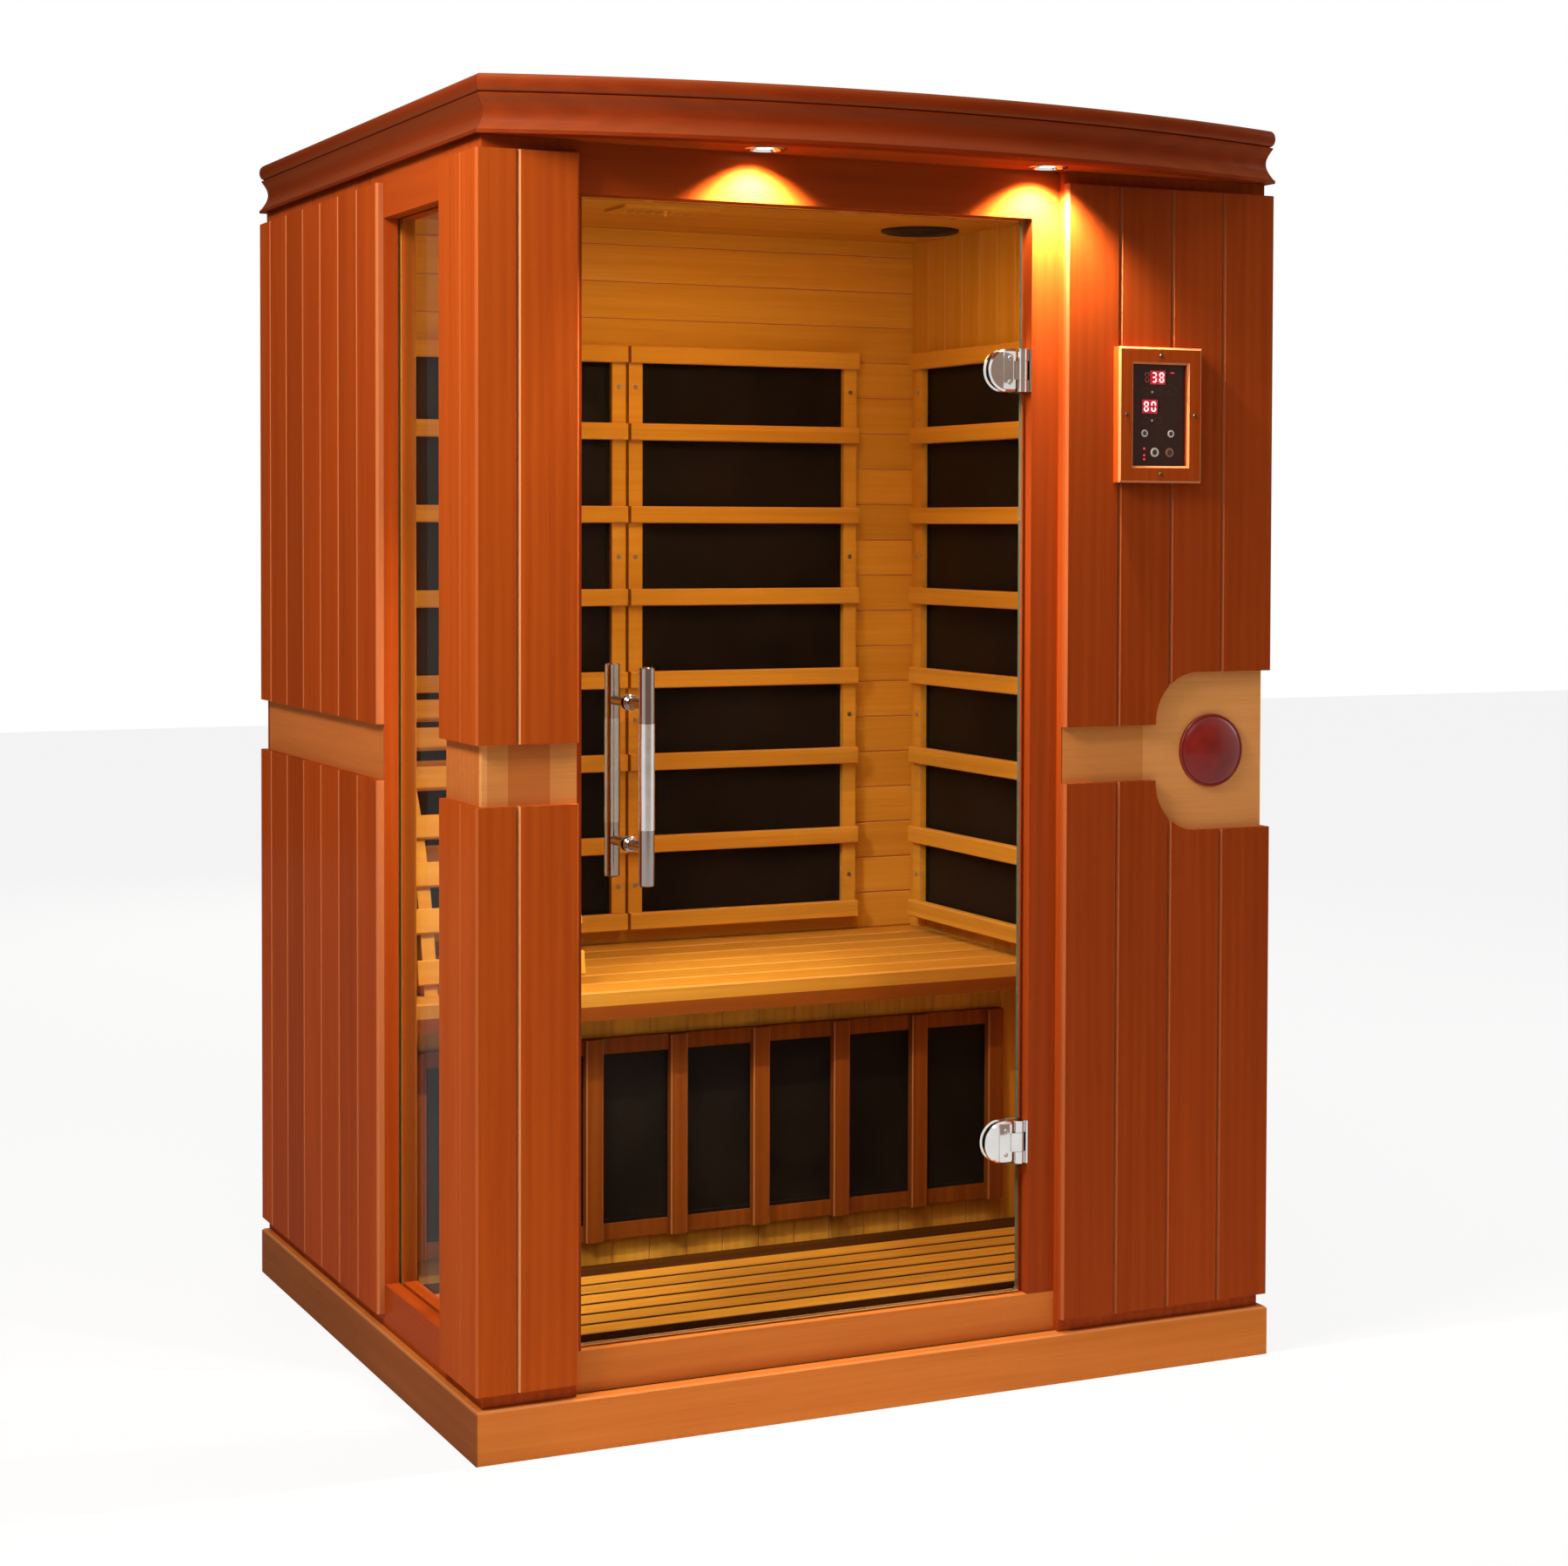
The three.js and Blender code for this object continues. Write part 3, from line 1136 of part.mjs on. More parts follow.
// Loose backrest: two curved ribs with struts behind them, joined by slats
function backrest() {
  const bend = new THREE.SplineCurve(BACKREST_BEND.map(([y, z]) => new THREE.Vector2(y, z)));
  const steps = 12;
  const [near, far] = [[], []];
  for (let step = 0; step <= steps; step += 1) {
    const point = bend.getPoint(step / steps);
    const along = bend.getTangent(step / steps);
    near.push([point.x - (along.y * BACKREST_RIB) / 2, point.y + (along.x * BACKREST_RIB) / 2]);
    far.unshift([point.x + (along.y * BACKREST_RIB) / 2, point.y - (along.x * BACKREST_RIB) / 2]);
  }
  const rib = outline(...near, ...far);
  const top = bend.getPoint(BACKREST_STRUT_AT);
  const half = BACKREST_RIB / 2;
  const strut = outline(
    [BACKREST_STRUT_FOOT - half, -half],
    [BACKREST_STRUT_FOOT + half, -half],
    [top.x + half, top.y],
    [top.x - half, top.y],
  );
  const pieces = [];
  for (const side of [-1, 1]) {
    const x = side * (BACKREST_WIDTH / 2 - BACKREST_SIDE);
    const thickness = [x - BACKREST_SIDE / 2, x + BACKREST_SIDE / 2];
    pieces.push(prismX(rib, thickness), prismX(strut, thickness));
  }
  for (let slat = 0; slat < BACKREST_SLATS; slat += 1) {
    const place = (slat + 1) / (BACKREST_SLATS + 0.4);
    const point = bend.getPoint(place);
    const along = bend.getTangent(place);
    const rise = half - BACKREST_LAP;
    const section = easedSection(
      [-BACKREST_SLAT / 2, BACKREST_SLAT / 2],
      [rise, rise + BACKREST_SLAT_THICKNESS],
      HEATER_EASE,
    );
    pieces.push(
      prismX(section, [-BACKREST_WIDTH / 2, BACKREST_WIDTH / 2])
        .rotateX(Math.atan2(along.y, along.x))
        .translate(0, point.x, point.y),
    );
  }
  const below = block(
    [-BACKREST_WIDTH, BACKREST_WIDTH],
    [-BENCH_DEPTH, BENCH_DEPTH],
    [-BACKREST_WIDTH, 0],
  );
  const foot = [BACKREST_X, BENCH_FRONT + BACKREST_FRONT_GAP, BENCH_TOP + FIT];
  return mesh("backrest", cut(join(...pieces), below), NATURAL, foot);
}

const cabin = new THREE.Group();
cabin.name = "infrared_sauna_cabin";
cabin.add(
  ...base(),
  ...walls(),
  ...claddings(),
  disc(),
  ...doorFrame(),
  ...door(),
  ...roof(),
  controlUnit(),
  ...heaters(),
  ...bench(),
  backrest(),
);

export default cabin;
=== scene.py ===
"""Studio scene of an infrared sauna cabin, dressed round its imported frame. Metres, +Z up, front towards -Y."""

import logging
import math
from dataclasses import dataclass, field
from enum import Enum
from typing import Optional, Sequence, Union

import bmesh
import bpy
from mathutils import Matrix, Vector


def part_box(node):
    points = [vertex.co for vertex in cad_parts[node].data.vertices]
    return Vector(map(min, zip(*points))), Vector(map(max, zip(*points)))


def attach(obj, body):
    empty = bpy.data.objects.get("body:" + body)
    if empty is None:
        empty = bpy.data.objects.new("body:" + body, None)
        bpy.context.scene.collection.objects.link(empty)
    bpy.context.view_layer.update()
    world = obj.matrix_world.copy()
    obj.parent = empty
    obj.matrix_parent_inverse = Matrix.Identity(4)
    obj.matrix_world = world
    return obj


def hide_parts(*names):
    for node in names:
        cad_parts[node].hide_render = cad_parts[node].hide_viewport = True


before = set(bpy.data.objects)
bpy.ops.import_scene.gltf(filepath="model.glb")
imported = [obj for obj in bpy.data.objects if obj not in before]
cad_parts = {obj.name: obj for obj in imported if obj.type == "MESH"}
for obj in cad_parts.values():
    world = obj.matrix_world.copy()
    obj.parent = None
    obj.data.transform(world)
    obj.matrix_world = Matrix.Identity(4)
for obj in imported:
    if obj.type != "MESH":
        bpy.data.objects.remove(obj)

log = logging.getLogger("sauna_cabin")

Colour = tuple[float, float, float, float]
Point = tuple[float, float, float]
Pair = tuple[float, float]
Profile = Sequence[Pair]
Socket = bpy.types.NodeSocket
Source = Union[Socket, float, Colour]
Piece = bpy.types.Object
Mesh = bmesh.types.BMesh

MADE: dict[str, bpy.types.Material] = {}
WHITE: Colour = (1.0, 1.0, 1.0, 1.0)


def srgb(red: int, green: int, blue: int) -> Colour:
    """Turns an 8-bit screen colour into a linear one.

    Args:
        red: Red from 0 to 255.
        green: Green from 0 to 255.
        blue: Blue from 0 to 255.

    Returns:
        The linear colour with full alpha.
    """
    parts = []
    for value in (red, green, blue):
        part = value / 255.0
        parts.append(part / 12.92 if part <= 0.04045 else ((part + 0.055) / 1.055) ** 2.4)
    return (parts[0], parts[1], parts[2], 1.0)


def scaled(colour: Colour, share: float) -> Colour:
    """Makes a colour darker or lighter by a share."""
    red, green, blue = (min(1.0, share * part) for part in colour[:3])
    return (red, green, blue, 1.0)


class Axis(Enum):
    """A row axis, by its index."""

    X = 0
    Y = 1
    Z = 2


class Grain(Enum):
    """The way that wood fibres run, as the axes along, across and through them."""

    ALONG_X = (0, 1, 2)
    ALONG_Y = (1, 0, 2)
    ALONG_Z = (2, 0, 1)
    AROUND = ()


class Body(Enum):
    """The bodies that made pieces ride on, apart from the buttons."""

    CABIN = "cabin"
    DOOR = "door"


@dataclass
class NodeSheet:
    """A node tree with short ways to add nodes."""

    tree: bpy.types.NodeTree

    def add(
        self, kind: str, inputs: Optional[dict[Union[str, int], Source]] = None, **settings: object
    ) -> bpy.types.Node:
        """Adds a node.

        Args:
            kind: The node's type name after ShaderNode.
            inputs: For its inputs, by name or number, the sockets to link or the constants to set.
            **settings: Properties to set on it.

        Returns:
            The node.
        """
        node = self.tree.nodes.new("ShaderNode" + kind)
        for key, value in settings.items():
            setattr(node, key, value)
        for key, source in (inputs or {}).items():
            if isinstance(source, bpy.types.NodeSocket):
                self.tree.links.new(source, node.inputs[key])
            else:
                node.inputs[key].default_value = source
        return node

    def place(self) -> Socket:
        """Coordinates of a point in the row frame."""
        return self.add("TexCoord").outputs["Object"]

    def split(self, vector: Socket) -> list[Socket]:
        """Splits a vector into its three numbers."""
        return list(self.add("SeparateXYZ", {0: vector}).outputs)

    def normal(self) -> list[Socket]:
        """The three parts of a face's direction."""
        return self.split(self.add("NewGeometry").outputs["Normal"])

    def math(self, operation: str, first: Source, second: Source = 0.0) -> Socket:
        """Adds a Math node of that operation."""
        return self.add("Math", {0: first, 1: second}, operation=operation).outputs[0]

    def join_axes(self, parts: Sequence[Source]) -> Socket:
        """Makes a vector of three sockets or numbers."""
        return self.add("CombineXYZ", dict(enumerate(parts))).outputs[0]

    def noise(self, vector: Socket, scale: float, detail: float, warp: float = 0.0) -> Socket:
        """Adds a noise texture's factor."""
        inputs = {"Vector": vector, "Scale": scale, "Detail": detail, "Distortion": warp}
        return self.add("TexNoise", inputs).outputs[0]

    def ramp(self, factor: Socket, stops: Sequence[tuple[float, Colour]]) -> Socket:
        """Adds a colour ramp.

        Args:
            factor: What drives it.
            stops: Positions and colours, lowest first.

        Returns:
            The colour's socket.
        """
        node = self.add("ValToRGB", {0: factor})
        marks = node.color_ramp.elements
        while len(marks) < len(stops):
            marks.new(0.5)
        for mark, (position, colour) in zip(marks, stops):
            mark.position = position
            mark.color = colour
        return node.outputs[0]

    def two_tone(self, factor: Socket, dim: Colour, bright: Colour) -> Socket:
        """Spreads a noise over two colours."""
        return self.ramp(factor, [(0.3, dim), (0.7, bright)])

    def mix(self, factor: Source, first: Source, second: Source, blend: str = "MIX") -> Socket:
        """Mixes two colours."""
        inputs = {0: factor, 6: first, 7: second}
        return self.add("Mix", inputs, data_type="RGBA", blend_type=blend).outputs[2]

    def blend(self, factor: Socket, first: Source, second: Source) -> Socket:
        """Blends two numbers, from the first at 0 to the second at 1."""
        return self.add("Mix", {0: factor, 2: first, 3: second}, data_type="FLOAT").outputs[0]

    def spread(self, value: Socket, low: float, high: float) -> Socket:
        """Maps 0 to 1 onto another range."""
        return self.add("MapRange", {0: value, 3: low, 4: high}).outputs[0]

    def bump(self, height: Socket, strength: float, distance: float) -> Socket:
        """Adds a bump's normal."""
        return self.add("Bump", {"Strength": strength, "Distance": distance, "Height": height}).outputs[0]

    def skin(self, inputs: dict[Union[str, int], Source]) -> Socket:
        """Adds a principled shader."""
        return self.add("BsdfPrincipled", inputs).outputs[0]

    def cross(self, factor: Socket, first: Socket, second: Socket) -> Socket:
        """Mixes two shaders."""
        return self.add("MixShader", {0: factor, 1: first, 2: second}).outputs[0]

    def seen(self) -> Socket:
        """Factor of the rays that show the background: camera, glossy and transmission.

        Returns:
            The factor's socket, 0 once a ray has left a matt surface.
        """
        path = self.add("LightPath").outputs
        whole = path["Is Camera Ray"]
        steps = {"Is Glossy Ray": "MAXIMUM", "Is Transmission Ray": "MAXIMUM", "Diffuse Depth": "SUBTRACT"}
        for name, operation in steps.items():
            inputs = {0: whole, 1: path[name]}
            whole = self.add("Math", inputs, operation=operation, use_clamp=True).outputs[0]
        return whole


@dataclass(frozen=True)
class Palette:
    """Three tones of one wood."""

    dark: Colour
    body: Colour
    light: Colour


@dataclass(frozen=True)
class Boards:
    """Boards side by side in one piece, which differ a little in tone and meet in a painted shade line and a
    painted highlight line.
    """

    axis: Axis
    start: float
    pitch: float
    contrast: float = 0.12
    # Width of the painted shade line before each joint, and strength of the painted highlight line after it.
    joint: float = 0.0
    lit: float = 0.0


@dataclass(frozen=True)
class Zone:
    """A box of the row frame, open on each side that has no limit."""

    left: Optional[float] = None
    right: Optional[float] = None
    front: Optional[float] = None
    back: Optional[float] = None
    bottom: Optional[float] = None
    top: Optional[float] = None


@dataclass(frozen=True)
class Turn:
    """A zone of a piece in which the fibres, and the boards if there are any, run another way."""

    zone: Zone
    grain: Grain
    boards: Optional[Boards] = None


CHERRY = Palette(srgb(148, 57, 16), srgb(158, 63, 18), srgb(168, 70, 20))
# Lighter copy of the cherry stain for the corner post's cladding: painted light.
CHERRY_PAINTED_LIT = Palette(srgb(160, 66, 19), srgb(171, 73, 21), srgb(182, 81, 24))
# Darker copy of the cherry stain for the front cladding and the door jambs: painted shade.
CHERRY_PAINTED_SHADE = Palette(srgb(139, 54, 17), srgb(148, 59, 19), srgb(157, 65, 21))
# Darker copies of the cherry stain for the crown: painted shade on front and back, deeper painted shade on the
# sides.
CROWN_PAINTED_SHADE = Palette(srgb(119, 39, 10), srgb(128, 43, 11), srgb(137, 49, 13))
CROWN_SIDE_PAINTED_SHADE = Palette(srgb(98, 34, 11), srgb(106, 38, 13), srgb(114, 43, 15))
FOOT_STAIN = Palette(srgb(189, 106, 45), srgb(198, 114, 50), srgb(206, 122, 56))
# Darker copy of the foot stain for the skirt's left side: painted shade.
FOOT_SIDE_PAINTED_SHADE = Palette(srgb(130, 70, 34), srgb(138, 76, 38), srgb(146, 83, 42))
HONEY = Palette(srgb(202, 137, 42), srgb(214, 150, 50), srgb(223, 161, 58))
SEAT = Palette(srgb(180, 120, 38), srgb(192, 130, 44), srgb(202, 141, 52))
AMBER = Palette(srgb(122, 58, 15), srgb(132, 65, 18), srgb(143, 74, 23))
# Dark wood for the floor panel and the duckboard's slat sides: painted shade.
PAINTED_SHADE_WOOD = Palette(srgb(60, 32, 10), srgb(72, 38, 12), srgb(84, 46, 16))
BELT = Palette(srgb(199, 125, 63), srgb(204, 130, 67), srgb(209, 136, 73))
BELT_PALE = Palette(srgb(216, 144, 80), srgb(221, 150, 85), srgb(226, 156, 91))
BELT_ROSE = Palette(srgb(180, 99, 45), srgb(186, 104, 49), srgb(192, 110, 54))

# Pale colour of the painted highlight on eased edges and of the painted highlight line beside each board joint.
PAINTED_HIGHLIGHT_TONE = srgb(232, 158, 104)
PORE_TONE: Colour = (0.66, 0.6, 0.55, 1.0)
# Colour that the painted shade line before each board joint darkens towards.
JOINT_PAINTED_SHADE: Colour = (0.22, 0.15, 0.11, 1.0)
PORE_SHARE = 0.16
BOARD_SHIFT = 3.7  # how far along the fibres each board's figure is moved from the last one's
# How dark the painted shade line at a joint gets, and how wide the painted highlight line is.
JOINT_SHADE_STRENGTH = 0.95
LIT_WIDTH = 1.5  # of the lit line at a joint, in widths of the shaded one
SLANT_GAIN = 3.2
WOOD_ROUGHNESS = (0.28, 0.5)
WOOD_COAT_ROUGHNESS = 0.16

# How often the layers of the figure repeat in a metre, along and across the fibres
PORES = (7.0, 380.0)
BROAD = (1.1, 9.0)
RINGS = (0.9, 11.0)
STREAKS = (1.6, 75.0)


@dataclass(frozen=True)
class Finish:
    """A finish that becomes a material the first time it is used."""

    name: str

    def material(self) -> bpy.types.Material:
        """Gives the finish's material.

        Returns:
            The material, made on first use.
        """
        if self.name not in MADE:
            made = bpy.data.materials.new(self.name)
            made.use_nodes = True
            made.node_tree.nodes.clear()
            sheet = NodeSheet(made.node_tree)
            sheet.add("OutputMaterial", {"Surface": self.shade(sheet)})
            MADE[self.name] = made
        return MADE[self.name]

    def shade(self, sheet: NodeSheet) -> Socket:
        """Adds the finish's nodes to an empty sheet and returns its shader."""
        raise NotImplementedError


@dataclass(frozen=True)
class WoodFinish(Finish):
    """Planed wood: figure, fibres, board tones, eased edges with a painted highlight, painted shade and
    highlight lines at board joints, and a clear coat.
    """

    palette: Palette
    grain: Grain
    boards: Optional[Boards] = None
    zones: tuple[tuple[Palette, Zone], ...] = ()
    turns: tuple[Turn, ...] = ()
    coat: float = 0.06
    painted_edge_highlight: float = 0.3

    def shade(self, sheet: NodeSheet) -> Socket:
        """Adds the nodes of the figure, the zones, the boards, the painted edge highlight and the coat.

        Args:
            sheet: The empty node sheet.

        Returns:
            The shader's socket.
        """
        axes = sheet.split(sheet.place())
        fibres = self._fibre_axes(sheet, axes)
        count = self._board_count(sheet, axes, self.boards)
        for turn in self.turns:
            inside = self._mask(sheet, axes, turn.zone)
            fibres = [sheet.blend(inside, own, axes[i]) for own, i in zip(fibres, turn.grain.value)]
            count = sheet.blend(inside, count, self._board_count(sheet, axes, turn.boards))
        board = sheet.math("FLOOR", count)
        ways = [sheet.math("ADD", fibres[0], sheet.math("MULTIPLY", board, BOARD_SHIFT)), *fibres[1:]]
        figure = self._figure(sheet, ways)
        pore = sheet.noise(self._stretched(sheet, ways, PORES), 1.0, 3.0)
        colour = self._tones(sheet, self.palette, figure)
        for palette, zone in self.zones:
            colour = sheet.mix(self._mask(sheet, axes, zone), colour, self._tones(sheet, palette, figure))
        colour = sheet.mix(PORE_SHARE, colour, sheet.ramp(pore, [(0.34, PORE_TONE), (0.52, WHITE)]), "MULTIPLY")
        if self.boards:
            colour = self._boarded(sheet, colour, board, count)
        # Painted highlight: slanted faces of eased edges are mixed towards a pale colour.
        edge = sheet.math("MULTIPLY", self._slant(sheet), self.painted_edge_highlight)
        return sheet.skin(
            {
                "Base Color": sheet.mix(edge, colour, PAINTED_HIGHLIGHT_TONE),
                "Roughness": sheet.spread(pore, *WOOD_ROUGHNESS),
                "Specular IOR Level": 0.0,
                "Coat Weight": self.coat,
                "Coat Roughness": WOOD_COAT_ROUGHNESS,
                "Normal": sheet.bump(pore, 0.1, 0.0005),
            }
        )

    @staticmethod
    def _board_count(sheet: NodeSheet, axes: Sequence[Socket], boards: Optional[Boards]) -> Source:
        """Place across the boards, counted in boards.

        Args:
            sheet: The node sheet.
            axes: The three row axes.
            boards: The boards, if there are any.

        Returns:
            The place's socket, or the middle of one board where there are none.
        """
        if not boards:
            return 0.5
        return sheet.math("DIVIDE", sheet.math("SUBTRACT", axes[boards.axis.value], boards.start), boards.pitch)

    def _boarded(self, sheet: NodeSheet, colour: Socket, board: Socket, count: Socket) -> Socket:
        """Gives each board its own tone, and each joint a painted shade line before it and a painted highlight
        line after it.

        Args:
            sheet: The node sheet.
            colour: The wood's colour.
            board: The board's number.
            count: Place across the boards, in boards.

        Returns:
            The colour's socket.
        """
        boards = self.boards
        shuffle = sheet.add("TexWhiteNoise", {"W": board}, noise_dimensions="1D").outputs[0]
        level = sheet.spread(shuffle, 1.0 - boards.contrast, 1.0 + 0.6 * boards.contrast)
        colour = sheet.mix(1.0, colour, sheet.join_axes([level, level, level]), "MULTIPLY")
        # Painted shade on one side of each joint and a painted highlight on the other.
        if boards.joint > 0.0:
            part = sheet.math("FRACT", count)
            before = sheet.math("SUBTRACT", 1.0, part)
            width = boards.joint / boards.pitch
            lines = []
            for near, most, reach in ((before, JOINT_SHADE_STRENGTH, width), (part, boards.lit, LIT_WIDTH * width)):
                inputs = {0: near, 1: 0.6 * reach, 2: reach, 3: most, 4: 0.0}
                lines.append(sheet.add("MapRange", inputs).outputs[0])
            colour = sheet.mix(lines[0], colour, JOINT_PAINTED_SHADE, "MULTIPLY")
            colour = sheet.mix(lines[1], colour, PAINTED_HIGHLIGHT_TONE)
        return colour

    def _fibre_axes(self, sheet: NodeSheet, axes: Sequence[Socket]) -> list[Socket]:
        """Orders the axes as along, across and through the fibres.

        Args:
            sheet: The node sheet.
            axes: The three row axes.

        Returns:
            The three sockets.
        """
        if self.grain is not Grain.AROUND:
            return [axes[i] for i in self.grain.value]
        side = sheet.math("GREATER_THAN", sheet.math("ABSOLUTE", sheet.normal()[0]), 0.6)
        rest = sheet.math("SUBTRACT", 1.0, side)
        swapped = []
        for first, second in ((0, 1), (1, 0)):
            own = sheet.math("MULTIPLY", axes[first], rest)
            swapped.append(sheet.math("ADD", own, sheet.math("MULTIPLY", axes[second], side)))
        return [*swapped, axes[2]]

    @staticmethod
    def _stretched(sheet: NodeSheet, ways: Sequence[Socket], stretch: Pair) -> Socket:
        """Coordinates that are coarse along the fibres and fine across them."""
        factors = (stretch[0], stretch[1], stretch[1])
        return sheet.join_axes([sheet.math("MULTIPLY", way, factor) for way, factor in zip(ways, factors)])

    def _figure(self, sheet: NodeSheet, ways: Sequence[Socket]) -> Socket:
        """Growth-ring figure of sawn wood.

        Args:
            sheet: The node sheet.
            ways: Places along, across and through the fibres.

        Returns:
            The figure's factor.
        """
        broad = sheet.noise(self._stretched(sheet, ways, BROAD), 1.0, 3.0, 0.6)
        streak = sheet.noise(self._stretched(sheet, ways, STREAKS), 1.0, 3.0)
        waves = {"Scale": 1.6, "Distortion": 5.0, "Detail": 2.0, "Detail Scale": 0.6}
        waves["Vector"] = self._stretched(sheet, ways, RINGS)
        rings = sheet.add("TexWave", waves, wave_type="BANDS", bands_direction="Y", wave_profile="SIN")
        whole = sheet.math("MULTIPLY", rings.outputs[1], 0.12)
        for layer, share in ((broad, 0.44), (streak, 0.42)):
            whole = sheet.math("ADD", whole, sheet.math("MULTIPLY", layer, share))
        return whole

    @staticmethod
    def _tones(sheet: NodeSheet, palette: Palette, figure: Socket) -> Socket:
        """Colours the figure with a palette."""
        return sheet.ramp(figure, [(0.3, palette.dark), (0.5, palette.body), (0.7, palette.light)])

    @staticmethod
    def _mask(sheet: NodeSheet, axes: Sequence[Socket], zone: Zone) -> Source:
        """Factor that is 1 inside a zone.

        Args:
            sheet: The node sheet.
            axes: The three row axes.
            zone: The zone.

        Returns:
            The factor's socket.
        """
        inside: Source = 1.0
        limits = ((zone.left, zone.right), (zone.front, zone.back), (zone.bottom, zone.top))
        for axis, pair in zip(axes, limits):
            for limit, test in zip(pair, ("GREATER_THAN", "LESS_THAN")):
                if limit is not None:
                    inside = sheet.math("MULTIPLY", inside, sheet.math(test, axis, limit))
        return inside

    @staticmethod
    def _slant(sheet: NodeSheet) -> Socket:
        """Factor of faces between the three axes, which are the eased edges that get the painted highlight.

        Args:
            sheet: The node sheet.

        Returns:
            The factor's socket.
        """
        sizes = [sheet.math("ABSOLUTE", part) for part in sheet.normal()]
        largest = sheet.math("MAXIMUM", sheet.math("MAXIMUM", sizes[0], sizes[1]), sizes[2])
        return sheet.math("MULTIPLY", sheet.math("SUBTRACT", 1.0, largest), SLANT_GAIN)


@dataclass(frozen=True)
class MetalFinish(Finish):
    """Polished metal with faint smears."""

    colour: Colour
    roughness: float

    def shade(self, sheet: NodeSheet) -> Socket:
        """Adds the metal's nodes.

        Args:
            sheet: The empty node sheet.

        Returns:
            The shader's socket.
        """
        smear = sheet.noise(sheet.place(), 60.0, 3.0)
        return sheet.skin(
            {
                "Base Color": sheet.two_tone(smear, scaled(self.colour, 0.93), self.colour),
                "Metallic": 1.0,
                "Roughness": sheet.spread(smear, self.roughness * 0.8, self.roughness * 1.2),
            }
        )


@dataclass(frozen=True)
class CoatedFinish(Finish):
    """Paint, plastic or rubber: a mottled body colour under a more or less glossy skin."""

    colour: Colour
    roughness: float
    coat: float = 0.0
    mottle: float = 0.12
    scale: float = 180.0

    def shade(self, sheet: NodeSheet) -> Socket:
        """Adds the nodes of body and skin.

        Args:
            sheet: The empty node sheet.

        Returns:
            The shader's socket.
        """
        speck = sheet.noise(sheet.place(), self.scale, 4.0)
        dim, bright = (scaled(self.colour, 1.0 + sign * self.mottle) for sign in (-1.0, 1.0))
        return sheet.skin(
            {
                "Base Color": sheet.two_tone(speck, dim, bright),
                "Roughness": sheet.spread(speck, self.roughness * 0.8, self.roughness * 1.2),
                "Specular IOR Level": 0.25,
                "Coat Weight": self.coat,
                "Coat Roughness": 0.06,
                "Normal": sheet.bump(speck, 0.05, 0.0003),
            }
        )


@dataclass(frozen=True)
class SheetFinish(Finish):
    """Black heating sheet: dark, faintly streaked and slightly shiny."""

    colour: Colour

    def shade(self, sheet: NodeSheet) -> Socket:
        """Adds the sheet's nodes.

        Args:
            sheet: The empty node sheet.

        Returns:
            The shader's socket.
        """
        place = sheet.place()
        cloud = sheet.noise(place, 5.0, 5.0, 0.8)
        weave = sheet.noise(place, 900.0, 2.0)
        return sheet.skin(
            {
                "Base Color": sheet.ramp(cloud, [(0.35, self.colour), (0.72, scaled(self.colour, 2.1))]),
                "Roughness": sheet.spread(cloud, 0.28, 0.5),
                "Specular IOR Level": 0.06,
                "Normal": sheet.bump(weave, 0.08, 0.0002),
            }
        )


@dataclass(frozen=True)
class PaneFinish(Finish):
    """Clear pane with tinted edges, which lets light through to what is behind it."""

    tint: Colour
    edge: Colour
    thin: Axis

    def shade(self, sheet: NodeSheet) -> Socket:
        """Adds the nodes of the clear faces and the tinted edges.

        Args:
            sheet: The empty node sheet.

        Returns:
            The shader's socket.
        """
        place = sheet.add("TexCoord").outputs
        smear = sheet.noise(place["Object"], 3.0, 3.0)
        glass = sheet.skin(
            {
                "Base Color": self.tint,
                "Roughness": sheet.spread(smear, 0.0, 0.015),
                "Transmission Weight": 1.0,
                "IOR": 1.04,
            }
        )
        clear = sheet.add("BsdfTransparent", {0: self.tint}).outputs[0]
        pane = sheet.cross(sheet.add("LightPath").outputs["Is Shadow Ray"], glass, clear)
        rim = sheet.skin(
            {
                "Base Color": sheet.two_tone(smear, scaled(self.edge, 0.75), self.edge),
                "Roughness": sheet.spread(smear, 0.2, 0.35),
            }
        )
        across = sheet.math("ABSOLUTE", sheet.split(place["Normal"])[self.thin.value])
        return sheet.cross(sheet.math("LESS_THAN", across, 0.5), pane, rim)


@dataclass(frozen=True)
class GlowFinish(Finish):
    """Lit lens, lamp or display segment, and the faint painted glow of unlit segments."""

    colour: Colour
    strength: float

    def shade(self, sheet: NodeSheet) -> Socket:
        """Adds the glow's nodes.

        Args:
            sheet: The empty node sheet.

        Returns:
            The shader's socket.
        """
        cloud = sheet.noise(sheet.place(), 300.0, 2.0)
        tone = sheet.two_tone(cloud, scaled(self.colour, 0.8), self.colour)
        return sheet.skin(
            {"Base Color": tone, "Emission Color": tone, "Emission Strength": self.strength, "Roughness": 0.3}
        )


@dataclass(frozen=True)
class FloorFinish(Finish):
    """Pale floor, nearly as bright as the background where a ray sees it."""

    strength: float

    def shade(self, sheet: NodeSheet) -> Socket:
        """Adds the floor's nodes.

        Args:
            sheet: The empty node sheet.

        Returns:
            The shader's socket.
        """
        speck = sheet.noise(sheet.place(), 40.0, 2.0)
        grey = sheet.two_tone(speck, (0.83, 0.83, 0.83, 1.0), (0.86, 0.86, 0.86, 1.0))
        matt = sheet.add("BsdfDiffuse", {0: grey}).outputs[0]
        white = sheet.add("Emission", {0: WHITE, 1: self.strength}).outputs[0]
        return sheet.cross(sheet.math("MULTIPLY", sheet.seen(), 0.88), matt, white)


CHROME = MetalFinish("polished_chrome", (0.74, 0.72, 0.70, 1.0), 0.08)
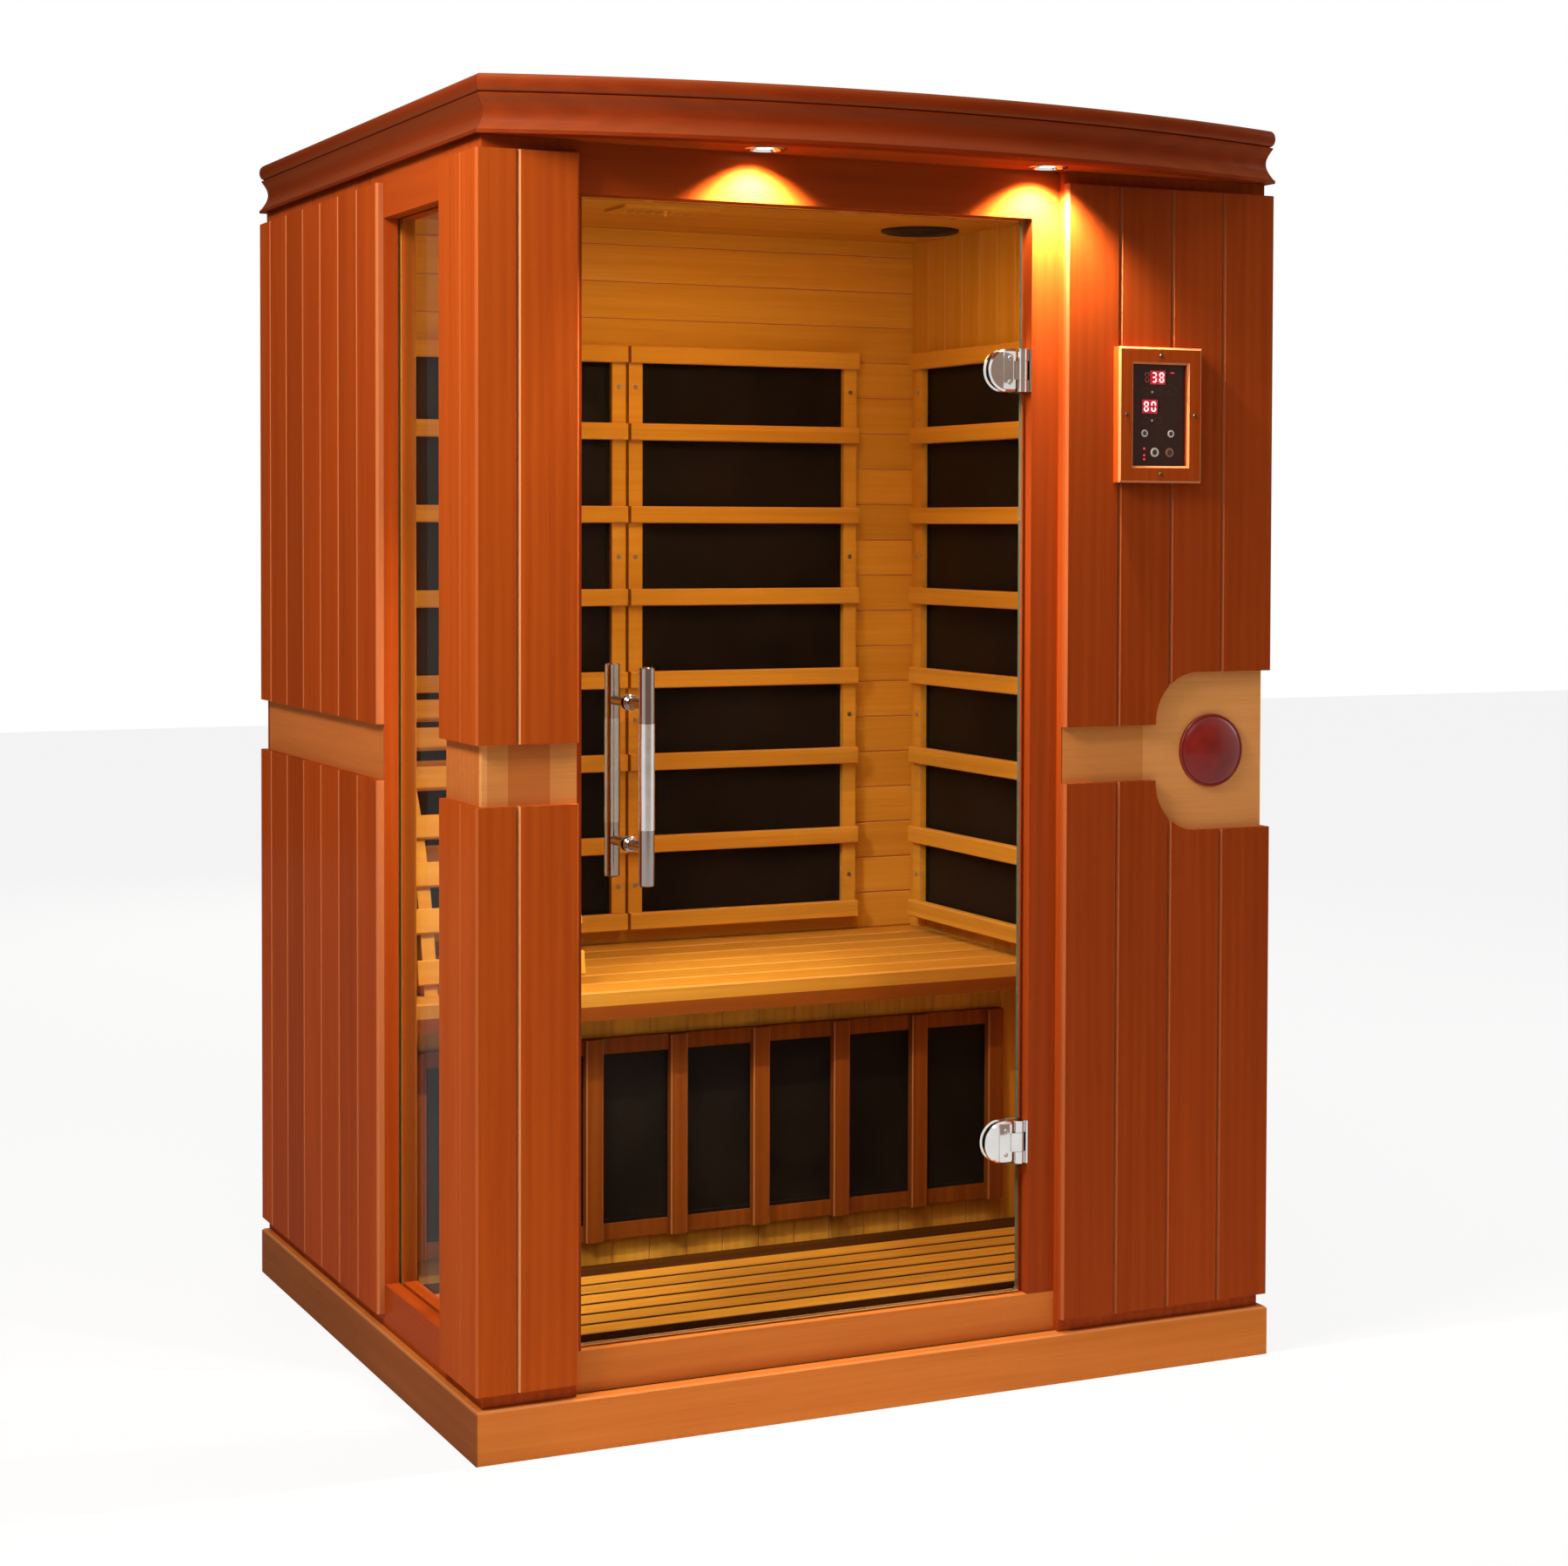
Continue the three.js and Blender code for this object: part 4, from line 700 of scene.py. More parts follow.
# Darker, browner metal for the outside handle's bar: painted dark reflection.
CHROME_PAINTED_DARK_REFLECTION = MetalFinish("chrome_painted_dark_reflection", (0.36, 0.31, 0.28, 1.0), 0.1)
SATIN = MetalFinish("satin_grip_steel", (0.72, 0.70, 0.67, 1.0), 0.2)
# Brown metal for the inside handle: painted shade and painted reflection of the wood room.
INNER_CHROME_PAINTED_REFLECTION = MetalFinish("inner_bar_painted_reflection", (0.32, 0.24, 0.19, 1.0), 0.1)
INNER_SATIN_PAINTED_REFLECTION = MetalFinish("inner_grip_painted_reflection", (0.38, 0.30, 0.24, 1.0), 0.2)
STEEL = MetalFinish("screw_steel", (0.42, 0.40, 0.37, 1.0), 0.3)
SCREW_DARK = MetalFinish("dark_screw_steel", (0.16, 0.12, 0.10, 1.0), 0.3)
DOOR_PANE = PaneFinish("door_pane", (0.97, 0.99, 0.975, 1.0), srgb(84, 96, 80), Axis.Y)
WINDOW_PANE = PaneFinish("window_pane", (0.97, 0.99, 0.975, 1.0), srgb(84, 96, 80), Axis.X)
HEAT_SHEET = SheetFinish("black_heating_sheet", srgb(22, 16, 12))
# Black panel tinted reddish brown: black is its own colour, the reddish tint is painted reflection.
PANEL_BLACK_PAINTED_REFLECTION = CoatedFinish("gloss_black_panel_painted_reflection", srgb(50, 26, 21), 0.22, coat=0.4)
SPEAKER_BLACK = CoatedFinish("speaker_grille_black", srgb(34, 31, 28), 0.55)
SEAL_BLACK = CoatedFinish("seal_rubber", srgb(28, 24, 22), 0.7)
BOX_GREY = CoatedFinish("box_grey_paint", srgb(150, 152, 154), 0.45, mottle=0.05)
DISC_RED = CoatedFinish("disc_enamel", srgb(122, 20, 11), 0.34, coat=0.15, mottle=0.16, scale=40.0)
RED_GLOW = GlowFinish("red_digit_glow", srgb(255, 205, 212), 1.5)
RED_HALO = GlowFinish("red_digit_halo", srgb(176, 12, 34), 0.7)
# Unlit segments with a faint glow: painted light.
RED_UNLIT_PAINTED_GLOW = GlowFinish("red_digit_unlit_painted_glow", srgb(120, 62, 58), 0.12)
RED_LAMP = GlowFinish("red_indicator_glow", srgb(235, 40, 45), 0.9)
LAMP_GLOW = GlowFinish("warm_lamp_glow", (1.0, 0.86, 0.62, 1.0), 14.0)
KEY_LINE = CoatedFinish("key_outline", srgb(66, 52, 48), 0.4)
KEY_DOT = CoatedFinish("key_dot", srgb(190, 180, 172), 0.5)
RING_PALE = CoatedFinish("button_ring_pale", srgb(206, 196, 186), 0.35)
RING_TAN = CoatedFinish("button_ring_tan", srgb(138, 92, 72), 0.35)
CAP_DARK = CoatedFinish("button_cap_dark", srgb(60, 46, 42), 0.4, coat=0.2)
STUDIO_CARD = GlowFinish("studio_card", srgb(110, 92, 80), 2.0)


@dataclass
class MeshKit:
    """Ways to make smooth-edged meshes in the row frame."""

    sharp: float = math.radians(38.0)
    weld: float = 1e-6

    def finish(self, name: str, mesh: Mesh, look: Finish) -> Piece:
        """Turns a mesh under construction into an object of the scene.

        Args:
            name: The piece's name.
            mesh: The bmesh, which is freed.
            look: Its finish.

        Returns:
            The object.
        """
        bmesh.ops.remove_doubles(mesh, verts=mesh.verts, dist=self.weld)
        bmesh.ops.recalc_face_normals(mesh, faces=mesh.faces)
        data = bpy.data.meshes.new(name)
        mesh.to_mesh(data)
        mesh.free()
        data.shade_smooth()
        data.set_sharp_from_angle(angle=self.sharp)
        data.materials.append(look.material())
        piece = bpy.data.objects.new(name, data)
        bpy.context.scene.collection.objects.link(piece)
        return piece

    @staticmethod
    def add_loft(mesh: Mesh, rings: Sequence[Sequence[Point]], closed: bool = False) -> None:
        """Adds a skin over closed rings of points.

        Args:
            mesh: The bmesh to add to.
            rings: Rings with the same number of points.
            closed: Whether the last ring joins the first; if not, both ends are capped.
        """
        rows = [[mesh.verts.new(point) for point in ring] for ring in rings]
        sides = len(rows[0])
        pairs = list(zip(rows, rows[1:]))
        if closed:
            pairs.append((rows[-1], rows[0]))
        for low, high in pairs:
            for side in range(sides):
                after = (side + 1) % sides
                mesh.faces.new((low[side], low[after], high[after], high[side]))
        if not closed:
            mesh.faces.new(list(reversed(rows[0])))
            mesh.faces.new(rows[-1])

    @staticmethod
    def add_turned(mesh: Mesh, profile: Profile, place: Matrix, segments: int) -> None:
        """Adds a solid of revolution about the local Z axis.

        Args:
            mesh: The bmesh to add to.
            profile: Points (radius, height) that start and end on the axis.
            place: Where its local frame stands.
            segments: Steps round the axis.
        """
        poles = [mesh.verts.new(place @ Vector((0.0, 0.0, profile[i][1]))) for i in (0, -1)]
        rings = []
        for radius, height in profile[1:-1]:
            points = circle((0.0, 0.0, height), radius, segments)
            rings.append([mesh.verts.new(place @ Vector(point)) for point in points])
        for step in range(segments):
            after = (step + 1) % segments
            mesh.faces.new((poles[0], rings[0][after], rings[0][step]))
            mesh.faces.new((poles[1], rings[-1][step], rings[-1][after]))
            for low, high in zip(rings, rings[1:]):
                mesh.faces.new((low[step], low[after], high[after], high[step]))

    @staticmethod
    def add_plate(mesh: Mesh, outline: Sequence[Point], push: Vector) -> None:
        """Adds a flat plate.

        Args:
            mesh: The bmesh to add to.
            outline: Points of one face.
            push: From that face to the other one.
        """
        front = [mesh.verts.new(point) for point in outline]
        back = [mesh.verts.new(Vector(point) + push) for point in outline]
        mesh.faces.new(front)
        mesh.faces.new(list(reversed(back)))
        for here in range(len(front)):
            after = (here + 1) % len(front)
            mesh.faces.new((front[here], back[here], back[after], front[after]))

    def slab(self, name: str, low: Point, high: Point, ease: float, look: Finish) -> Piece:
        """Makes a box with rounded edges.

        Args:
            name: The piece's name.
            low: Lowest corner.
            high: Highest corner.
            ease: Width of the rounding.
            look: Its finish.

        Returns:
            The object.
        """
        mesh = bmesh.new()
        centre = (Vector(low) + Vector(high)) / 2.0
        size = Vector(high) - Vector(low)
        place = Matrix.Translation(centre) @ Matrix.Diagonal((*size, 1.0))
        made = bmesh.ops.create_cube(mesh, size=1.0, matrix=place)
        edges = list({edge for vert in made["verts"] for edge in vert.link_edges})
        bmesh.ops.bevel(
            mesh, geom=edges, offset=ease, offset_type="OFFSET", segments=2, profile=0.5, affect="EDGES"
        )
        return self.finish(name, mesh, look)

    def loft(self, name: str, rings: Sequence[Sequence[Point]], look: Finish, closed: bool = False) -> Piece:
        """Makes one piece of a skin over closed rings of points.

        Args:
            name: The piece's name.
            rings: Rings with the same number of points.
            look: Its finish.
            closed: Whether the last ring joins the first.

        Returns:
            The object.
        """
        mesh = bmesh.new()
        self.add_loft(mesh, rings, closed)
        return self.finish(name, mesh, look)

    def turned(
        self, name: str, profile: Profile, places: Sequence[Matrix], look: Finish, segments: int
    ) -> Piece:
        """Makes one piece of one or more equal solids of revolution.

        Args:
            name: The piece's name.
            profile: Points (radius, height) that start and end on the axis.
            places: Where the solids' local frames stand.
            look: Its finish.
            segments: Steps round the axis.

        Returns:
            The object.
        """
        mesh = bmesh.new()
        for place in places:
            self.add_turned(mesh, profile, place, segments)
        return self.finish(name, mesh, look)


KIT = MeshKit()


def circle(centre: Point, radius: float, segments: int) -> list[Point]:
    """Points of a level circle.

    Args:
        centre: Its centre.
        radius: Its radius.
        segments: How many points it has.

    Returns:
        The points in order.
    """
    x, y, z = centre
    turns = [2.0 * math.pi * step / segments for step in range(segments)]
    return [(x + radius * math.cos(turn), y + radius * math.sin(turn), z) for turn in turns]


def facing(point: Point, direction: Axis, sign: int) -> Matrix:
    """A frame at a point whose Z axis runs along a row axis.

    Args:
        point: Where its origin is.
        direction: The row axis.
        sign: 1 or -1 for which way.

    Returns:
        The matrix.
    """
    target = Vector((0.0, 0.0, 0.0))
    target[direction.value] = sign
    turn = target.to_track_quat("Z", "Y" if direction is not Axis.Y else "X").to_matrix().to_4x4()
    return Matrix.Translation(point) @ turn


def screw_profile(radius: float) -> Profile:
    """Profile of a low screw head with a sunk socket.

    Args:
        radius: The head's radius.

    Returns:
        Points (radius, height) from its underside to its socket.
    """
    top = 0.4 * radius
    return [
        (0.0, -0.3 * radius),
        (radius, -0.3 * radius),
        (radius, 0.35 * top),
        (0.8 * radius, top),
        (0.48 * radius, top),
        (0.42 * radius, 0.1 * top),
        (0.0, 0.1 * top),
    ]


def settle(piece: Piece, slot: str, *nodes: str, body: str = Body.CABIN.value) -> None:
    """Lets a piece ride on a body and hides the nodes that it stands for.

    Args:
        piece: The piece, in place.
        slot: The record's material slot; not used.
        *nodes: Frame nodes that it replaces.
        body: The body's name.
    """
    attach(piece, body)
    if nodes:
        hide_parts(*nodes)
    log.info("made %s on %s", piece.name, body)


def dress(node: str, look: Finish, ease: float = 0.0) -> None:
    """Gives a frame node its finish and, where it has an ease, rounded edges.

    Args:
        node: The node's name.
        look: Its finish.
        ease: Width of the edge rounding, 0 for none.
    """
    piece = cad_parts[node]
    piece.data.materials.clear()
    piece.data.materials.append(look.material())
    if ease > 0.0:
        flat = piece.modifiers.new("flat_faces", "DECIMATE")
        flat.decimate_type = "DISSOLVE"
        flat.angle_limit = math.radians(0.5)
        rounding = piece.modifiers.new("eased_edges", "BEVEL")
        rounding.width = ease
        rounding.segments = 2
        rounding.limit_method = "ANGLE"
        rounding.angle_limit = math.radians(30.0)
        rounding.harden_normals = False
    log.info("dressed %s", node)


@dataclass
class Base:
    """Skirt, floor panel and duckboard."""

    ease: float = 0.0012
    shaded_depth: float = 0.002
    slat_pitch: float = 0.053
    slat_shade_depth: float = 0.003
    slat_ease: float = 0.001

    def build(self) -> None:
        """Dresses the three nodes."""
        # Painted shade on the skirt's left side.
        left_side = Zone(right=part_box("base_skirt")[0].x + self.shaded_depth)
        skirt = WoodFinish("skirt_wood", FOOT_STAIN, Grain.AROUND, zones=((FOOT_SIDE_PAINTED_SHADE, left_side),), coat=0.03)
        low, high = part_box("duckboard")
        slats = WoodFinish(
            "duckboard_wood",
            SEAT,
            Grain.ALONG_X,
            Boards(Axis.Y, low.y, self.slat_pitch),
            # Painted shade on the slats' sides below their tops.
            zones=((PAINTED_SHADE_WOOD, Zone(top=high.z - self.slat_shade_depth)),),
            coat=0.03,
            painted_edge_highlight=0.1,
        )
        dress("base_skirt", skirt, self.ease)
        # Floor panel under the duckboard in painted shade.
        dress("floor_panel", WoodFinish("floor_painted_shade_wood", PAINTED_SHADE_WOOD, Grain.ALONG_X, coat=0.0))
        dress("duckboard", slats, self.slat_ease)


@dataclass
class Walls:
    """Wall panels, their cladding and the window."""

    ease: float = 0.001
    plank: float = 0.066
    plank_contrast: float = 0.1
    # Width of the painted shade line between the lining's planks.
    plank_joint: float = 0.0012
    side_board: float = 0.103
    front_board: float = 0.092
    back_board: float = 0.105
    post_board: float = 0.2
    back_face: float = 0.56
    front_face: float = -0.53
    side_face: float = 0.61
    back_corner: float = 0.633
    left_start: float = -0.1105
    right_start: float = -0.5652
    front_start: float = 0.277
    post_middle: float = -0.584
    right_lining: float = 0.5252
    back_lining: float = 0.0753
    window_edge: float = -0.11
    window_jamb: Pair = (-0.598, -0.108)
    belt_start: float = 0.279
    bay_start: float = 0.42
    post_strip: Pair = (-0.595, -0.534)
    post_corner: Pair = (-0.625, -0.555)
    post_inside: float = -0.6
    belt: Pair = (0.87, 1.02)
    bay: Pair = (0.80, 1.09)
    # Width of the painted shade line at the cladding's joints, and strength of the painted highlight line beside
    # it.
    joint: float = 0.0026
    lit: float = 0.25

    def build(self) -> None:
        """Dresses panels, cladding and window."""
        self._side_panels()
        self._end_panels()
        self._cladding()
        rail = WoodFinish("window_rail_wood", CHERRY, Grain.ALONG_Y)
        dress("window_header", rail, self.ease)
        dress("window_sill", rail, self.ease)
        dress("window_glass", WINDOW_PANE)

    def _planks(self, axis: Axis, start: float) -> Boards:
        """The planks that line the room, with a painted shade line at each joint."""
        return Boards(axis, start, self.plank, self.plank_contrast, self.plank_joint)

    def _side_panels(self) -> None:
        """Left and right panel: plank lining inside, stained outside, bare wood at the belt and in the bay."""
        side = self.side_face
        left_belt = Zone(front=self.window_edge, right=-side, bottom=self.belt[0], top=self.belt[1])
        left = WoodFinish(
            "left_panel_wood",
            CHERRY,
            Grain.ALONG_Z,
            self._planks(Axis.Y, self.left_start),
            zones=(
                (BELT_ROSE, left_belt),
                (HONEY, Zone(left=-side)),
                (AMBER, Zone(left=-side, back=self.window_jamb[1])),
                (CHERRY, Zone(right=self.window_jamb[0], back=self.window_jamb[1])),
            ),
            turns=(Turn(left_belt, Grain.ALONG_Y),),
        )
        right_bay = Zone(left=side, bottom=self.bay[0], top=self.bay[1])
        right = WoodFinish(
            "right_panel_wood",
            HONEY,
            Grain.ALONG_Z,
            self._planks(Axis.Y, self.right_lining),
            zones=((CHERRY, Zone(left=side)), (BELT, right_bay)),
            turns=(Turn(right_bay, Grain.ALONG_Y),),
        )
        dress("left_wall_panel", left)
        dress("right_wall_panel", right)

    def _end_panels(self) -> None:
        """Back and front panel and the corner post, with a belt of laminated strips on the post."""
        side, back_face, front_face = self.side_face, self.back_face, self.front_face
        low, high = self.belt
        bay_low, bay_high = self.bay
        outside, left_end, right_end = Zone(front=back_face), Zone(right=-side), Zone(left=side)
        back = WoodFinish(
            "back_panel_wood",
            HONEY,
            Grain.ALONG_X,
            self._planks(Axis.Z, self.back_lining),
            zones=(
                (CHERRY, outside),
                (CHERRY, left_end),
                (CHERRY, right_end),
                (BELT_ROSE, Zone(right=-side, back=back_face, bottom=low, top=high)),
                (BELT, Zone(left=side, back=back_face, bottom=low, top=high)),
            ),
            turns=(
                Turn(outside, Grain.ALONG_Z, Boards(Axis.X, self.back_corner, self.back_board)),
                Turn(left_end, Grain.ALONG_Z),
                Turn(right_end, Grain.ALONG_Z),
            ),
        )
        level = Zone(left=self.belt_start, back=front_face, bottom=bay_low, top=bay_high)
        front = WoodFinish(
            "front_panel_wood",
            CHERRY,
            Grain.ALONG_Z,
            zones=(
                (BELT, Zone(left=self.belt_start, bottom=low, top=high)),
                (BELT_PALE, Zone(left=self.bay_start, bottom=bay_low, top=bay_high)),
                (HONEY, Zone(front=front_face, right=side)),
            ),
            turns=(Turn(level, Grain.ALONG_X),),
        )
        post_belt = Zone(bottom=low, top=high)
        post = WoodFinish(
            "post_wood",
            CHERRY,
            Grain.ALONG_Z,
            zones=(
                (BELT, post_belt),
                (BELT_ROSE, Zone(left=self.post_strip[0], right=self.post_strip[1], bottom=low, top=high)),
                (BELT_PALE, Zone(right=self.post_corner[0], back=self.post_corner[1], bottom=low, top=high)),
                (BELT_ROSE, Zone(right=self.post_inside, front=self.post_corner[1], bottom=low, top=high)),
                (HONEY, Zone(left=self.post_inside, front=front_face)),
            ),
            turns=(Turn(post_belt, Grain.ALONG_X),),
        )
        dress("back_wall_panel", back)
        dress("front_wall_panel", front)
        dress("corner_post", post)

    def _cladding(self) -> None:
        """Stained boards of the lower and the upper fields, with painted shade and highlight lines at the
        joints.
        """
        joint, lit = self.joint, self.lit
        # Per wall: stain, boards, and the strength of the painted highlight line at the joints.
        walls = {
            "left": (CHERRY, Boards(Axis.Y, self.left_start, self.side_board, 0.12, joint, lit)),
            "right": (CHERRY, Boards(Axis.Y, self.right_start, self.side_board, 0.12, joint, lit)),
            # Front cladding in painted shade, post cladding in painted light.
            "front": (CHERRY_PAINTED_SHADE, Boards(Axis.X, self.front_start, self.front_board, 0.08, joint, 0.08)),
            "post": (CHERRY_PAINTED_LIT, Boards(Axis.X, self.post_middle, self.post_board, 0.04, joint, 0.8)),
        }
        for wall, (stain, boards) in walls.items():
            name = f"{wall}_cladding_wood"
            look = WoodFinish(name, stain, Grain.ALONG_Z, boards, painted_edge_highlight=0.12, coat=0.04)
            for row in ("lower", "upper"):
                dress(f"{wall}_cladding_{row}", look, self.ease)


@dataclass
class CornerDisc:
    """Plain red domed disc in the bay."""

    rim: float = 0.004
    foot_share: float = 0.36
    chamfer: float = 0.0012
    groove: float = 0.0008
    dome_power: float = 2.2
    dome_steps: int = 20

    def build(self) -> None:
        """Makes the disc with a raised rim in place of its node."""
        low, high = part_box("corner_disc")
        radius = (high.x - low.x) / 2.0
        depth = high.y - low.y
        foot = self.foot_share * depth
        inner = radius - self.rim
        profile = [(0.0, 0.0), (radius, 0.0), (radius, foot - self.chamfer), (radius - self.chamfer, foot)]
        profile += [(inner + self.groove, foot), (inner, foot - self.groove)]
        for step in range(1, self.dome_steps):
            out = 1.0 - step / self.dome_steps
            profile.append((inner * out, foot + (depth - foot) * (1.0 - out**self.dome_power)))
        profile.append((0.0, depth))
        centre = ((low.x + high.x) / 2.0, high.y, (low.z + high.z) / 2.0)
        piece = KIT.turned("red_disc", profile, [facing(centre, Axis.Y, -1)], DISC_RED, 64)
        settle(piece, "red_enamel", "corner_disc")


@dataclass
class DoorFrame:
    """Rails round the door opening."""

    ease: float = 0.0015

    def build(self) -> None:
        """Dresses the four rails and the seal."""
        # Jambs in the darker copy of the stain: painted shade.
        upright = WoodFinish("door_jamb_wood", CHERRY_PAINTED_SHADE, Grain.ALONG_Z)
        dress("door_header", WoodFinish("door_header_wood", CHERRY, Grain.ALONG_X), self.ease)
        dress("door_sill", WoodFinish("door_sill_wood", FOOT_STAIN, Grain.ALONG_X), self.ease)
        dress("hinge_jamb", upright, self.ease)
        dress("strike_jamb", upright, self.ease)
        dress("door_seal", SEAL_BLACK)


@dataclass
class GlassDoor:
    """Pane, handles and hinges."""

    bar: float = 0.011
    bar_ease: float = 0.0015
    post: float = 0.007
    post_spacing: float = 0.2
    flange: float = 0.011
    flange_depth: float = 0.004
    flange_ease: float = 0.001
    foot_ease: float = 0.0006
    sleeve: float = 0.074
    sleeve_rise: float = 0.0004
    sleeve_seat: float = 0.001
    clamp_ease: float = 0.0006
    leaf_ease: float = 0.0005
    plate_front: float = 0.0083
    plate_width: float = 0.044
    cover_width: float = 0.021
    cover_rise: float = 0.0022
    cover_seat: float = 0.001
    cover_margin: float = 0.004
    cover_ease: float = 0.0009
    screw: float = 0.0035
    screw_seat: float = 0.002
    screw_reach: float = 0.018

    def build(self) -> None:
        """Dresses the pane and the hinges and makes the handles."""
        dress("door_glass", DOOR_PANE)
        # The handles' metals are darkened and browned: painted reflection.
        self._handle("handle_outside", -1, CHROME_PAINTED_DARK_REFLECTION, SATIN)
        self._handle("handle_inside", 1, INNER_CHROME_PAINTED_REFLECTION, INNER_SATIN_PAINTED_REFLECTION)
        for number in (1, 2):
            dress(f"hinge_clamp_{number}", CHROME, self.clamp_ease)
            dress(f"hinge_leaf_{number}", CHROME, self.leaf_ease)
            self._hinge_trim(number)

    def _handle(self, node: str, side: int, bright: Finish, grip: Finish) -> None:
        """Makes a bar handle with its posts and its sleeve.

        Args:
            node: The node that it replaces.
            side: -1 outside, 1 inside.
            bright: Finish of the bar.
            grip: Finish of the sleeve.
        """
        low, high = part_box(node)
        x = (low.x + high.x) / 2.0
        middle = (low.z + high.z) / 2.0
        half = (high.z - low.z) / 2.0
        glass, reach = (high.y, low.y + self.bar) if side < 0 else (low.y, high.y - self.bar)
        length = abs(reach - glass)
        radius, ease, flange, depth = self.bar, self.bar_ease, self.flange, self.flange_depth
        bar = [(0.0, -half), (radius - ease, -half), (radius, -half + ease)]
        bar += [(radius, half - ease), (radius - ease, half), (0.0, half)]
        stem = [(0.0, 0.0), (flange - self.foot_ease, 0.0), (flange, self.foot_ease)]
        stem += [(flange, depth - self.flange_ease), (flange - self.flange_ease, depth)]
        stem += [(self.post + self.flange_ease, depth), (self.post, depth + self.flange_ease)]
        stem += [(self.post, length), (0.0, length)]
        mesh = bmesh.new()
        KIT.add_turned(mesh, bar, Matrix.Translation((x, reach, middle)), 48)
        for end in (-0.5, 0.5):
            spot = (x, glass, middle + end * self.post_spacing)
            KIT.add_turned(mesh, stem, facing(spot, Axis.Y, side), 32)
        settle(KIT.finish(node + "_bar", mesh, bright), "chrome", node, body=Body.DOOR.value)
        inner, outer = radius - self.sleeve_seat, radius + self.sleeve_rise
        tube = ((inner, -self.sleeve), (outer, -self.sleeve), (outer, self.sleeve), (inner, self.sleeve))
        rings = [circle((x, reach, middle + rise), ring, 48) for ring, rise in tube]
        settle(KIT.loft(node + "_sleeve", rings, grip, closed=True), "chrome", body=Body.DOOR.value)

    def _hinge_trim(self, number: int) -> None:
        """Adds a raised cover and its screws to the front plate of a clamp.

        Args:
            number: The hinge's number.
        """
        low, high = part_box(f"hinge_clamp_{number}")
        middle = (low.z + high.z) / 2.0
        half = (high.z - low.z) / 2.0
        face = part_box("door_glass")[0].y - self.plate_front
        right = low.x + self.plate_width
        start = (right - self.cover_width, face - self.cover_rise, middle - half + self.cover_margin)
        end = (right, face + self.cover_seat, middle + half - self.cover_margin)
        cover = KIT.slab(f"hinge_cover_{number}", start, end, self.cover_ease, CHROME)
        settle(cover, "chrome", body=Body.DOOR.value)
        places = []
        for end in (-1, 1):
            spot = (right - self.cover_width / 2.0, face - self.screw_seat, middle + end * self.screw_reach)
            places.append(facing(spot, Axis.Y, -1))
        screws = KIT.turned(f"hinge_screws_{number}", screw_profile(self.screw), places, STEEL, 20)
        settle(screws, "chrome", body=Body.DOOR.value)


